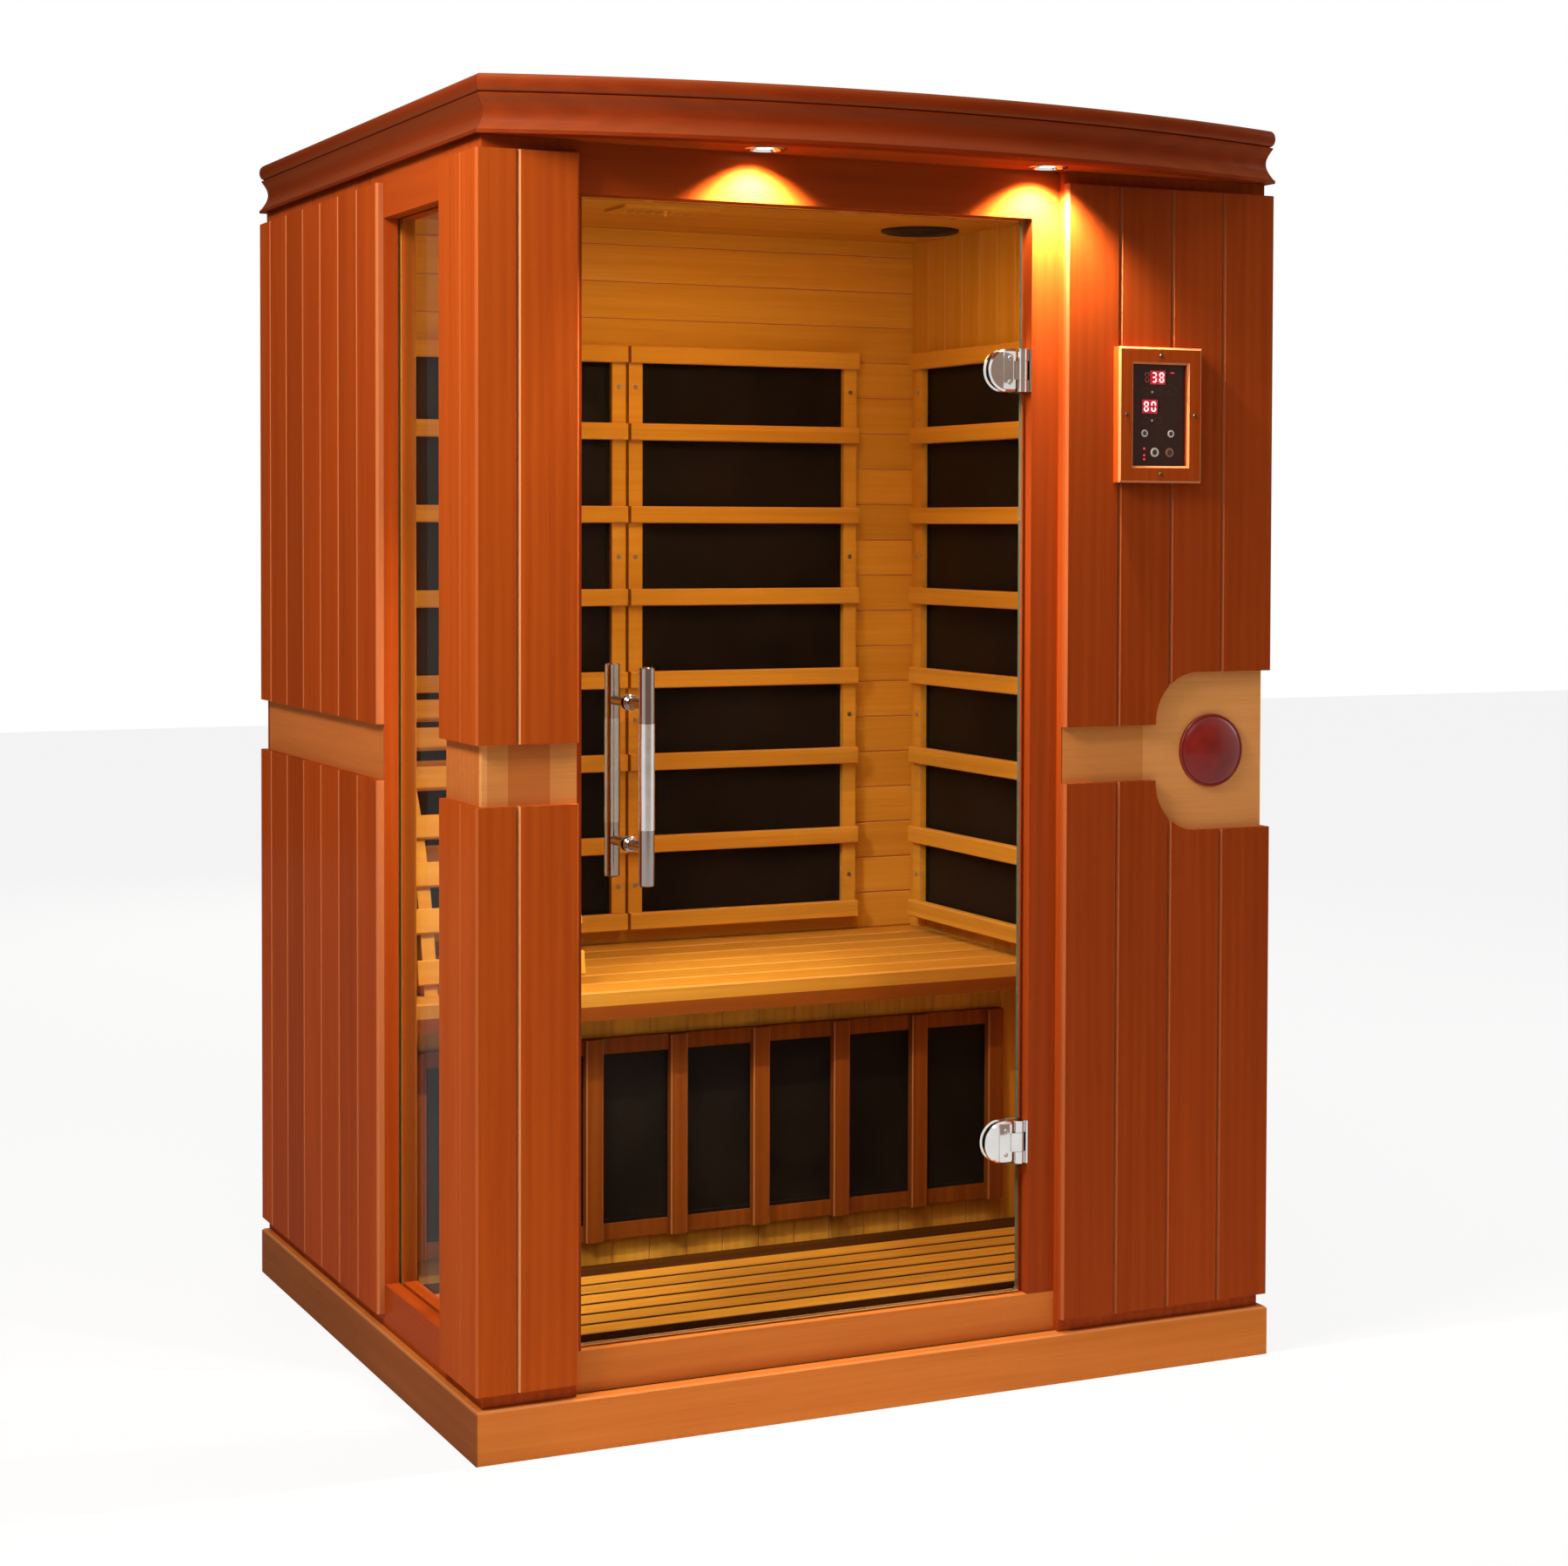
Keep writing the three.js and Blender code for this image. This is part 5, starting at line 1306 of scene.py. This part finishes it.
@dataclass
class Roof:
    """Crown, roof panel, lights, speaker, vent and power box."""

    bow: float = 0.108
    bow_steps: int = 72
    thickness: float = 0.032
    height: float = 0.081
    bead: float = 0.025
    bead_steps: int = 10
    quirk: float = 0.0075
    cove: float = 0.0095
    cove_steps: int = 12
    lip: float = 0.003
    lip_low: float = 0.0034
    lip_high: float = 0.0014
    foot: float = 0.005
    foot_step: float = 0.0004
    seam: float = 0.0003
    room_side: float = 0.58
    room_front: float = -0.5125
    room_back: float = 0.526
    room_top: float = 1.83
    soffit_board: float = 0.085
    vent_ease: float = 0.0006
    box_ease: float = 0.0015
    speaker_dome: float = 0.010
    speaker_ribs: int = 12
    rib_ease: float = 0.0006
    rib_depth: float = 0.0012

    def build(self) -> None:
        """Makes the crown's four mouldings, the lights and the speaker, and dresses the rest."""
        self._crown()
        side = self.room_side
        room = Zone(-side, side, self.room_front, self.room_back, top=self.room_top)
        boards = Boards(Axis.Y, self.room_front, self.soffit_board, 0.08)
        dress("roof_panel", WoodFinish("soffit_wood", CHERRY, Grain.ALONG_X, boards, zones=((HONEY, room),)))
        for side in ("left", "right"):
            self._downlight(f"downlight_{side}")
        self._speaker()
        honey = WoodFinish("vent_wood", HONEY, Grain.ALONG_X, coat=0.05)
        dress("vent_grille", honey, self.vent_ease)
        dress("vent_shutter", honey)
        dress("power_box", BOX_GREY, self.box_ease)

    def _profile(self) -> Profile:
        """Outline of the moulding: a foot, a cove, a lip and a bead above a quirk.

        Returns:
            Points (inset, height), outer side first and upwards.
        """
        shelf = self.height - self.bead
        points = [(0.0, 0.0), (0.0, self.foot)]
        for number in range(self.cove_steps + 1):
            part = number / self.cove_steps
            hollow = self.lip * (0.5 + 0.5 * part) + self.cove * math.sin(math.pi * part)
            points.append((hollow, self.foot + self.foot_step + part * (shelf - self.lip_low - self.foot)))
        points += [(self.lip, shelf - self.lip_high), (self.quirk, shelf)]
        for number in range(1, self.bead_steps + 1):
            angle = math.pi * (number / self.bead_steps - 0.5)
            inset = self.quirk * (1.0 - math.cos(angle))
            points.append((inset, shelf + self.bead * (0.5 + 0.5 * math.sin(angle))))
        return points + [(self.thickness, self.height), (self.thickness, 0.0)]

    def _crown(self) -> None:
        """Makes the bowed front moulding and the three straight ones, mitred at the corners."""
        low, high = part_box("crown_moulding")
        half, seam = high.x, self.seam
        radius = (half**2 + self.bow**2) / (2.0 * self.bow)
        centre = low.y + radius
        profile = self._profile()
        # Painted shade: the crown's front and back take a darker copy of the stain, and its sides a darker one
        # still.
        along_x = WoodFinish("crown_wood_front", CROWN_PAINTED_SHADE, Grain.ALONG_X, painted_edge_highlight=0.14, coat=0.04)
        along_y = WoodFinish("crown_wood_side", CROWN_SIDE_PAINTED_SHADE, Grain.ALONG_Y, painted_edge_highlight=0.1, coat=0.03)
        bowed = []
        for step in range(self.bow_steps + 1):
            ring = []
            for inset, rise in profile:
                arc = radius - inset
                angle = math.asin((half - inset - seam) / arc) * (2.0 * (step / self.bow_steps) - 1.0)
                ring.append((arc * math.sin(angle), centre - arc * math.cos(angle), low.z + rise))
            bowed.append(ring)
        settle(KIT.loft("crown_front", bowed, along_x), "stained_wood", "crown_moulding")
        for name, sign in (("crown_left", -1), ("crown_right", 1)):
            start, end = [], []
            for inset, rise in profile:
                arc = radius - inset
                front = centre - arc * math.cos(math.asin((half - inset) / arc))
                start.append((sign * (half - inset), front + seam, low.z + rise))
                end.append((sign * (half - inset), high.y - inset - seam, low.z + rise))
            settle(KIT.loft(name, [start, end], along_y), "stained_wood")
        ends = [[(s * (half - i - seam), high.y - i, low.z + rise) for i, rise in profile] for s in (-1, 1)]
        settle(KIT.loft("crown_back", ends, along_x), "stained_wood")

    @staticmethod
    def _downlight(node: str) -> None:
        """Makes a downlight: trim with its cone, and a lit lens.

        Args:
            node: The node that it replaces.
        """
        low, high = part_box(node)
        centre = ((low.x + high.x) / 2.0, (low.y + high.y) / 2.0, high.z)
        rim = (high.x - low.x) / 2.0
        depth = high.z - low.z
        place = facing(centre, Axis.Z, -1)
        # Shares of the rim's radius and depths below the trim's face
        trim = ((0.8, 0.0026), (1.0, 0.0026), (1.0, 0.0016), (0.95, 0.0004), (0.88, 0.0))
        trim += ((0.8, 0.0005), (0.74, 0.003), (0.6, 0.0075), (0.0, 0.0078))
        lens = ((0.0, 0.0076), (0.57, 0.0074), (0.57, 0.0055), (0.4, 0.0035), (0.2, 0.0025), (0.0, 0.0022))
        can = [(0.0, 0.0), (rim * 0.8, 0.0)] + [(rim * share, depth - below) for share, below in trim]
        settle(KIT.turned(node + "_trim", can, [place], CHROME, 48), "chrome", node)
        dome = [(rim * share, depth - below) for share, below in lens]
        settle(KIT.turned(node + "_lens", dome, [place], LAMP_GLOW, 40), "chrome")

    def _speaker(self) -> None:
        """Makes the speaker with a ribbed grille in place of its node."""
        low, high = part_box("speaker")
        centre = ((low.x + high.x) / 2.0, (low.y + high.y) / 2.0, high.z)
        rim = (high.x - low.x) / 2.0
        depth = high.z - low.z
        dome, ribs, ease, sink = self.speaker_dome, self.speaker_ribs, self.rib_ease, self.rib_depth
        profile = [(0.0, 0.0), (rim * 0.48, 0.0), (rim * 0.8, depth - 0.03), (rim * 0.8, depth - dome)]
        profile += [(rim, depth - dome), (rim, depth - 0.7 * dome), (rim * 0.96, depth - 0.5 * dome)]
        profile += [(rim * 0.86, depth - 0.35 * dome)]
        grille = rim * 0.84
        for rib in range(ribs):
            outer = grille * (1.0 - rib / ribs)
            inner = grille * (1.0 - (rib + 0.55) / ribs)
            swell = depth - 0.45 * dome * (outer / grille) ** 2
            profile += [(outer, swell - sink), (outer - ease, swell)]
            profile += [(inner + ease, swell), (inner, swell - sink)]
        profile.append((0.0, depth - sink))
        piece = KIT.turned("speaker_grille", profile, [facing(centre, Axis.Z, -1)], SPEAKER_BLACK, 56)
        settle(piece, "speaker_black", "speaker")


class Digit(Enum):
    """Lit segments of a seven-segment digit: top, two upper, middle, two lower, bottom."""

    THREE = (1, 0, 1, 1, 0, 1, 1)
    EIGHT = (1, 1, 1, 1, 1, 1, 1)
    ZERO = (1, 1, 1, 0, 1, 1, 1)


@dataclass
class ControlUnit:
    """Framed control panel with displays, lamps and ring buttons; places are from the panel's middle."""

    frame_ease: float = 0.0008
    rail: float = 0.013
    screw: float = 0.0032
    digit_width: float = 0.0085
    digit_height: float = 0.0155
    digit_gap: float = 0.0003
    digit_front: float = 0.0008
    digit_depth: float = 0.0014
    stroke: float = 0.0021
    pitch: float = 0.0128
    halo_side: float = 0.0006
    halo_rise: float = 0.0026
    halo_front: float = 0.0002
    halo_seat: float = 0.0006
    lamp_bar: Pair = (0.0245, 0.0645)
    lamp_bar_half: Pair = (0.0035, 0.0009)
    lamp_bar_front: float = 0.0006
    lamp_bar_seat: float = 0.0004
    plate_ease: float = 0.0003
    key_corner: float = 0.003
    key_line: float = 0.0005
    key_rise: float = 0.0004
    key_seat: float = 0.0002
    upper_row: Pair = (-0.0075, 0.057)
    lower_row: Pair = (-0.015, 0.013)
    lamps: Sequence[Pair] = ((-0.0245, -0.0505), (-0.0245, -0.0605), (-0.0245, -0.0665))
    dots: Sequence[Pair] = ((-0.011, 0.035), (-0.011, -0.008))
    small_key: Pair = (0.012, 0.009)
    small_keys: Sequence[Pair] = ((-0.022, 0.035), (0.0, 0.035), (-0.022, -0.008), (0.0, -0.008))
    large_key: Pair = (0.013, 0.011)
    large_key_spot: Pair = (0.025, 0.037)
    buttons: tuple[str, ...] = ("light_button", "sound_button", "power_button", "heat_button")
    middle: Vector = field(default_factory=Vector)
    face: float = 0.0

    def build(self) -> None:
        """Dresses the frame and the panel and adds what is on them."""
        wood = WoodFinish("control_frame_wood", CHERRY, Grain.ALONG_Z, painted_edge_highlight=0.6)
        dress("control_frame", wood, self.frame_ease)
        # Reddish tint on the black panel: painted reflection.
        dress("control_panel", PANEL_BLACK_PAINTED_REFLECTION)
        low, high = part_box("control_panel")
        self.middle = (low + high) / 2.0
        self.face = low.y
        self._frame_screws()
        self._digits("upper_digits", self.upper_row, (Digit.EIGHT, Digit.THREE, Digit.EIGHT), 1)
        self._digits("lower_digits", self.lower_row, (Digit.EIGHT, Digit.ZERO), 0)
        self._lamps()
        self._keys()
        for name in self.buttons:
            self._button(name)

    def _frame_screws(self) -> None:
        """Four screws in the middle of the frame's rails."""
        low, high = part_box("control_frame")
        middle = (low + high) / 2.0
        spots = [
            (middle.x, low.y, high.z - self.rail),
            (middle.x, low.y, low.z + self.rail),
            (low.x + self.rail, low.y, middle.z),
            (high.x - self.rail, low.y, middle.z),
        ]
        places = [facing(spot, Axis.Y, -1) for spot in spots]
        screws = KIT.turned("control_frame_screws", screw_profile(self.screw), places, SCREW_DARK, 20)
        settle(screws, "chrome")

    def _digits(self, name: str, spot: Pair, digits: Sequence[Digit], dim: int) -> None:
        """Makes a row of seven-segment digits on a red field.

        Args:
            name: The piece's name.
            spot: Middle of the row on the panel.
            digits: The digits from left to right.
            dim: How many of them, from the left, are unlit; these get a faint painted glow.
        """
        lit, unlit = bmesh.new(), bmesh.new()
        front = self.face - self.digit_front
        push = Vector((0.0, self.digit_depth, 0.0))
        z = self.middle.z + spot[1]
        for number, digit in enumerate(digits):
            x = self.middle.x + spot[0] + (number - (len(digits) - 1) / 2.0) * self.pitch
            for bar, shown in zip(self._segments(), digit.value):
                if shown:
                    outline = [(x + u, front, z + v) for u, v in bar]
                    KIT.add_plate(unlit if number < dim else lit, outline, push)
        settle(KIT.finish(name, lit, RED_GLOW), "panel_black")
        middle = self.middle.x + spot[0] + 0.5 * dim * self.pitch
        half = 0.5 * (len(digits) - dim) * self.pitch + self.halo_side
        rise = 0.5 * self.digit_height + self.halo_rise
        low = (middle - half, self.face - self.halo_front, z - rise)
        high = (middle + half, self.face + self.halo_seat, z + rise)
        settle(KIT.slab(name + "_halo", low, high, self.plate_ease, RED_HALO), "panel_black")
        if dim:
            # Unlit segments get a faint painted glow.
            settle(KIT.finish(name + "_unlit", unlit, RED_UNLIT_PAINTED_GLOW), "panel_black")
        else:
            unlit.free()

    def _bar(self, low: float, high: float) -> Profile:
        """Outline of a pointed bar.

        Args:
            low: Where the digit's half or whole starts.
            high: Where it ends.

        Returns:
            Places along the bar and beside its middle line.
        """
        half = self.stroke / 2.0
        start, end = low + half + self.digit_gap, high - half - self.digit_gap
        upper = [(start, 0.0), (start + half, half), (end - half, half)]
        return upper + [(end, 0.0), (end - half, -half), (start + half, -half)]

    def _segments(self) -> list[Profile]:
        """Outlines of a digit's segments about its middle.

        Returns:
            The seven outlines, in Digit's order.
        """
        width, height, half = self.digit_width / 2.0, self.digit_height / 2.0, self.stroke / 2.0
        levels = []
        for rise in (height - half, 0.0, -height + half):
            levels.append([(along, rise - side) for along, side in self._bar(-width, width)])
        sides = []
        for low, high in ((0.0, height), (-height, 0.0)):
            for place in (-width + half, width - half):
                sides.append([(place + side, along) for along, side in self._bar(low, high)])
        return [levels[0], *sides[:2], levels[1], *sides[2:], levels[2]]

    def _studs(self, name: str, profile: Profile, spots: Sequence[Pair], look: Finish) -> None:
        """Makes equal round studs on the panel.

        Args:
            name: The piece's name.
            profile: Points (radius, height) of a stud.
            spots: Where they are on the panel.
            look: Their finish.
        """
        places = [facing((self.middle.x + x, self.face, self.middle.z + z), Axis.Y, -1) for x, z in spots]
        settle(KIT.turned(name, profile, places, look, 16), "panel_black")

    def _lamps(self) -> None:
        """Small red lamps by the lower buttons and a lamp bar by the upper display."""
        dome = [(0.0, -0.0004), (0.0017, -0.0004), (0.0017, 0.0003), (0.001, 0.0008), (0.0, 0.001)]
        self._studs("indicator_lamps", dome, self.lamps, RED_LAMP)
        x, z = self.middle.x + self.lamp_bar[0], self.middle.z + self.lamp_bar[1]
        width, height = self.lamp_bar_half
        low = (x - width, self.face - self.lamp_bar_front, z - height)
        high = (x + width, self.face + self.lamp_bar_seat, z + height)
        settle(KIT.slab("lamp_bar", low, high, self.plate_ease, RED_LAMP), "panel_black")

    def _keys(self) -> None:
        """Raised outlines of the flat keys and the pale dots between them."""
        keys = [(spot, self.small_key) for spot in self.small_keys]
        keys.insert(2, (self.large_key_spot, self.large_key))
        mesh = bmesh.new()
        for (x, z), (width, height) in keys:
            self._key_ring(mesh, self.middle.x + x, self.middle.z + z, width / 2.0, height / 2.0)
        settle(KIT.finish("key_outlines", mesh, KEY_LINE), "panel_black")
        dot = [(0.0, -0.0003), (0.0016, -0.0003), (0.0016, 0.0004), (0.0012, 0.0006), (0.0, 0.0006)]
        self._studs("key_dots", dot, self.dots, KEY_DOT)

    def _key_ring(self, mesh: Mesh, x: float, z: float, width: float, height: float) -> None:
        """Adds a thin rounded frame round a key.

        Args:
            mesh: The bmesh to add to.
            x: Middle of the key across.
            z: Middle of the key in height.
            width: Half its width.
            height: Half its height.
        """
        corner, line, rise, seat = self.key_corner, self.key_line, self.key_rise, -self.key_seat
        turns = ((1, 1), (-1, 1), (-1, -1), (1, -1))
        rings = []
        for inset, lift in ((0.0, seat), (0.0, rise), (line, rise), (line, seat)):
            ring = []
            for number, (right, up) in enumerate(turns):
                for step in range(5):
                    angle = math.pi / 2.0 * (number + step / 4.0)
                    u = x + right * (width - corner) + (corner - inset) * math.cos(angle)
                    v = z + up * (height - corner) + (corner - inset) * math.sin(angle)
                    ring.append((u, self.face - lift, v))
            rings.append(ring)
        KIT.add_loft(mesh, rings, closed=True)

    @staticmethod
    def _button(node: str) -> None:
        """Makes a ring button: bright ring round a dark cap.

        Args:
            node: The node that it replaces, which is also its body's name.
        """
        low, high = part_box(node)
        radius = (high.x - low.x) / 2.0
        depth = high.y - low.y
        place = facing(((low.x + high.x) / 2.0, high.y, (low.z + high.z) / 2.0), Axis.Y, -1)
        ring = [(0.0, 0.0), (radius, 0.0), (radius, depth - 0.0007), (radius - 0.0003, depth - 0.0002)]
        ring += [(radius - 0.0008, depth), (radius * 0.72, depth - 0.0001), (radius * 0.64, depth - 0.0007)]
        ring += [(0.0, depth - 0.0008)]
        look = RING_TAN if node == "heat_button" else RING_PALE
        settle(KIT.turned(node + "_ring", ring, [place], look, 36), "button_grey", node, body=node)
        cap = [(0.0, depth - 0.0009), (radius * 0.6, depth - 0.0009), (radius * 0.6, depth - 0.0005)]
        cap += [(radius * 0.5, depth - 0.0001), (radius * 0.25, depth + 0.0001), (0.0, depth + 0.0001)]
        settle(KIT.turned(node + "_cap", cap, [place], CAP_DARK, 32), "button_grey", body=node)


@dataclass
class Heaters:
    """Slatted guards over black heating sheets."""

    ease: float = 0.0012
    screw: float = 0.0042
    screw_sink: float = 0.012
    stile: float = 0.026
    levels: tuple[float, ...] = (0.075, 0.36, 0.64, 0.93)
    rail_start: float = 0.5
    rail_pitch: float = 0.074
    upright_pitch: float = 0.1489

    def build(self) -> None:
        """Dresses the five heaters and adds the screws of the upright ones."""
        rails = Boards(Axis.Z, self.rail_start, self.rail_pitch, 0.1)
        uprights = Boards(Axis.X, 0.0, self.upright_pitch, 0.1)
        wood = WoodFinish("guard_wood_x", HONEY, Grain.ALONG_X, rails, coat=0.1)
        side = WoodFinish("guard_wood_y", HONEY, Grain.ALONG_Y, rails, coat=0.1)
        leg = WoodFinish("guard_wood_z", AMBER, Grain.ALONG_Z, uprights, coat=0.05)
        heaters = {"back_left": wood, "back_right": wood, "left": side, "right": side, "leg": leg}
        for name, look in heaters.items():
            dress(f"{name}_heater_guard", look, self.ease)
            dress(f"{name}_heater_emitter", HEAT_SHEET)
        self._screws("back_left_heater", Axis.X, Axis.Y, -1)
        self._screws("back_right_heater", Axis.X, Axis.Y, -1)
        self._screws("right_heater", Axis.Y, Axis.X, -1)
        self._screws("left_heater", Axis.Y, Axis.X, 1)

    def _screws(self, name: str, width: Axis, depth: Axis, sign: int) -> None:
        """Adds screws to the stiles of an upright heater.

        Args:
            name: The heater's name.
            width: Axis along its width.
            depth: Axis that it faces along.
            sign: Which way it faces.
        """
        low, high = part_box(f"{name}_guard")
        face = (low if sign < 0 else high)[depth.value] - sign * self.screw_sink
        places = []
        for side in (low[width.value] + self.stile / 2.0, high[width.value] - self.stile / 2.0):
            for level in self.levels:
                spot = [0.0, 0.0, low.z + level * (high.z - low.z)]
                spot[width.value] = side
                spot[depth.value] = face
                places.append(facing(tuple(spot), depth, sign))
        settle(KIT.turned(f"{name}_screws", screw_profile(self.screw), places, STEEL, 18), "chrome")


@dataclass
class Bench:
    """Seat, the plank wall below it and the loose backrest."""

    slat: float = 0.0845
    apron_top: float = 0.514
    seat_ease: float = 0.0015
    rest_ease: float = 0.0012
    plank_start: float = -0.5797
    plank: float = 0.066
    # Width of the painted shade line between the wall's planks.
    plank_joint: float = 0.0012

    def build(self) -> None:
        """Dresses the three nodes."""
        slats = Boards(Axis.Y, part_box("bench_seat")[0].y, self.slat, 0.1)
        # Darker below the seat's top: partly a darker stain on the apron, partly painted shade under the seat's
        # edge.
        apron_stain_and_shade = ((AMBER, Zone(top=self.apron_top)),)
        planks = Boards(Axis.X, self.plank_start, self.plank, 0.12, self.plank_joint)
        seat = WoodFinish("bench_wood", SEAT, Grain.ALONG_X, slats, zones=apron_stain_and_shade, coat=0.05)
        dress("bench_seat", seat, self.seat_ease)
        dress("bench_wall", WoodFinish("bench_wall_wood", HONEY, Grain.ALONG_Z, planks, coat=0.02))
        dress("backrest", WoodFinish("backrest_wood", HONEY, Grain.ALONG_X, coat=0.1), self.rest_ease)


@dataclass
class Studio:
    """Camera, lamps, floor and background."""

    eye: Point = (-1.90420, -4.34347, 1.28945)
    yaw: float = 0.449679
    pitch: float = -0.0294765
    roll: float = 0.0033216
    focal_pixels: float = 3336.199
    principal: Pair = (972.003, 702.189)
    image: tuple[int, int] = (1800, 1798)
    background: float = 1.0
    ambient: float = 0.16
    ambient_tint: Colour = (1.0, 0.985, 0.965, 1.0)
    floor_half: float = 14.0
    floor_drop: float = 0.0005
    soft: Point = (1.0, 0.97, 0.92)
    warm: Point = (1.0, 0.95, 0.88)
    amber: Point = (1.0, 0.64, 0.22)
    beam_tint: Point = (1.0, 0.88, 0.68)
    beam_power: float = 44.0
    beam_angle: float = 120.0
    beam_blend: float = 0.7
    beam_radius: float = 0.012
    beam_drop: float = 0.004
    beam_tilt: float = 14.0

    def build(self) -> None:
        """Sets the view, the light and the floor."""
        bpy.context.scene.view_settings.view_transform = "Standard"
        self._camera()
        self._world()
        self._floor()
        self._area("key_lamp", (-2.2, -1.25, 2.75), (-0.5, -0.4, 1.4), 0.7, 80.0, self.warm)
        self._area("front_lamp", (-0.6, -4.9, 3.9), (0.0, -0.5, 0.9), 2.0, 28.0, self.soft)
        self._area("top_lamp", (-1.0, -2.2, 4.2), (-0.2, -0.6, 1.6), 0.8, 18.0, self.warm)
        self._area("right_lamp", (4.2, -0.6, 2.6), (0.5, 0.0, 0.9), 2.2, 70.0, self.soft)
        self._area("back_lamp", (1.2, 5.2, 2.8), (0.0, 0.5, 0.9), 2.4, 90.0, self.soft)
        self._area("room_lamp", (0.05, -0.1, 1.79), (0.05, 0.05, 0.3), 0.36, 4.5, self.amber)
        for node in ("downlight_left", "downlight_right"):
            self._spot(node)
        self._card("front_dark_card", (-0.5, -8.0, 1.6), (-0.5, -0.5, 1.0), 15.0, 6.0)
        self._card("side_dark_card", (-3.4, 6.2, 1.6), (-0.6, 0.0, 1.0), 7.0, 6.0)

    @staticmethod
    def _card(name: str, spot: Point, aim: Point, width: float, height: float) -> None:
        """Stands a dark studio card where polished faces mirror it.

        Args:
            name: Its name.
            spot: Its middle.
            aim: What it faces.
            width: Its width.
            height: Its height.
        """
        mesh = bmesh.new()
        bmesh.ops.create_grid(mesh, x_segments=4, y_segments=4, size=0.5)
        card = KIT.finish(name, mesh, STUDIO_CARD)
        card.scale = (width, height, 1.0)
        card.location = spot
        card.rotation_euler = (Vector(aim) - Vector(spot)).to_track_quat("Z", "Y").to_euler()
        card.visible_camera = False
        card.visible_diffuse = False
        card.visible_transmission = False
        card.visible_shadow = False

    def _camera(self) -> None:
        """Places the camera as the photograph was taken."""
        level = math.cos(self.pitch)
        forward = Vector((math.sin(self.yaw) * level, math.cos(self.yaw) * level, math.sin(self.pitch)))
        right = Vector((math.cos(self.yaw), -math.sin(self.yaw), 0.0))
        up = right.cross(forward)
        turned_right = right * math.cos(self.roll) + up * math.sin(self.roll)
        turned_up = up * math.cos(self.roll) - right * math.sin(self.roll)
        data = bpy.data.cameras.new("photo_camera")
        width, height = self.image
        data.sensor_width = 36.0
        data.lens = self.focal_pixels / width * data.sensor_width
        data.shift_x = 0.5 - self.principal[0] / width
        data.shift_y = (self.principal[1] - height / 2.0) / width
        data.clip_end = 100.0
        camera = bpy.data.objects.new("photo_camera", data)
        turn = Matrix((turned_right, turned_up, -forward)).transposed().to_4x4()
        camera.matrix_world = Matrix.Translation(self.eye) @ turn
        bpy.context.scene.collection.objects.link(camera)
        bpy.context.scene.camera = camera

    def _world(self) -> None:
        """White background with a softer ambient light."""
        world = bpy.data.worlds.new("studio_world")
        world.use_nodes = True
        bpy.context.scene.world = world
        world.node_tree.nodes.clear()
        sheet = NodeSheet(world.node_tree)
        soft = sheet.add("Background", {0: self.ambient_tint, 1: self.ambient}).outputs[0]
        white = sheet.add("Background", {0: WHITE, 1: self.background}).outputs[0]
        sheet.add("OutputWorld", {0: sheet.cross(sheet.seen(), soft, white)})

    def _floor(self) -> None:
        """Pale floor that keeps a soft contact shadow."""
        mesh = bmesh.new()
        bmesh.ops.create_grid(mesh, x_segments=8, y_segments=8, size=self.floor_half)
        floor = KIT.finish("studio_floor", mesh, FloorFinish("studio_floor", self.background))
        floor.location.z = -self.floor_drop

    @staticmethod
    def _area(name: str, spot: Point, aim: Point, size: float, power: float, tint: Point) -> None:
        """Adds a square soft lamp.

        Args:
            name: Its name.
            spot: Where it stands.
            aim: What it points at.
            size: Length of its side.
            power: Watts.
            tint: Its colour.
        """
        data = bpy.data.lights.new(name, "AREA")
        data.size = size
        data.energy = power
        data.color = tint
        lamp = bpy.data.objects.new(name, data)
        lamp.location = spot
        lamp.rotation_euler = (Vector(aim) - Vector(spot)).to_track_quat("-Z", "Y").to_euler()
        lamp.visible_camera = False
        lamp.visible_transmission = False
        bpy.context.scene.collection.objects.link(lamp)

    def _spot(self, node: str) -> None:
        """Adds the warm beam of a downlight.

        Args:
            node: The downlight's node.
        """
        low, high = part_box(node)
        data = bpy.data.lights.new(node + "_beam", "SPOT")
        data.energy = self.beam_power
        data.color = self.beam_tint
        data.spot_size = math.radians(self.beam_angle)
        data.spot_blend = self.beam_blend
        data.shadow_soft_size = self.beam_radius
        lamp = bpy.data.objects.new(node + "_beam", data)
        lamp.location = ((low.x + high.x) / 2.0, (low.y + high.y) / 2.0, low.z - self.beam_drop)
        lamp.rotation_euler = (math.radians(self.beam_tilt), 0.0, 0.0)
        bpy.context.scene.collection.objects.link(lamp)


def main() -> None:
    """Builds the pieces in order."""
    logging.basicConfig(level=logging.INFO, format="%(name)s: %(message)s")
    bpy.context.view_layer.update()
    Studio().build()
    Base().build()
    Walls().build()
    CornerDisc().build()
    DoorFrame().build()
    GlassDoor().build()
    Roof().build()
    ControlUnit().build()
    Heaters().build()
    Bench().build()


if __name__ == "__main__":
    main()
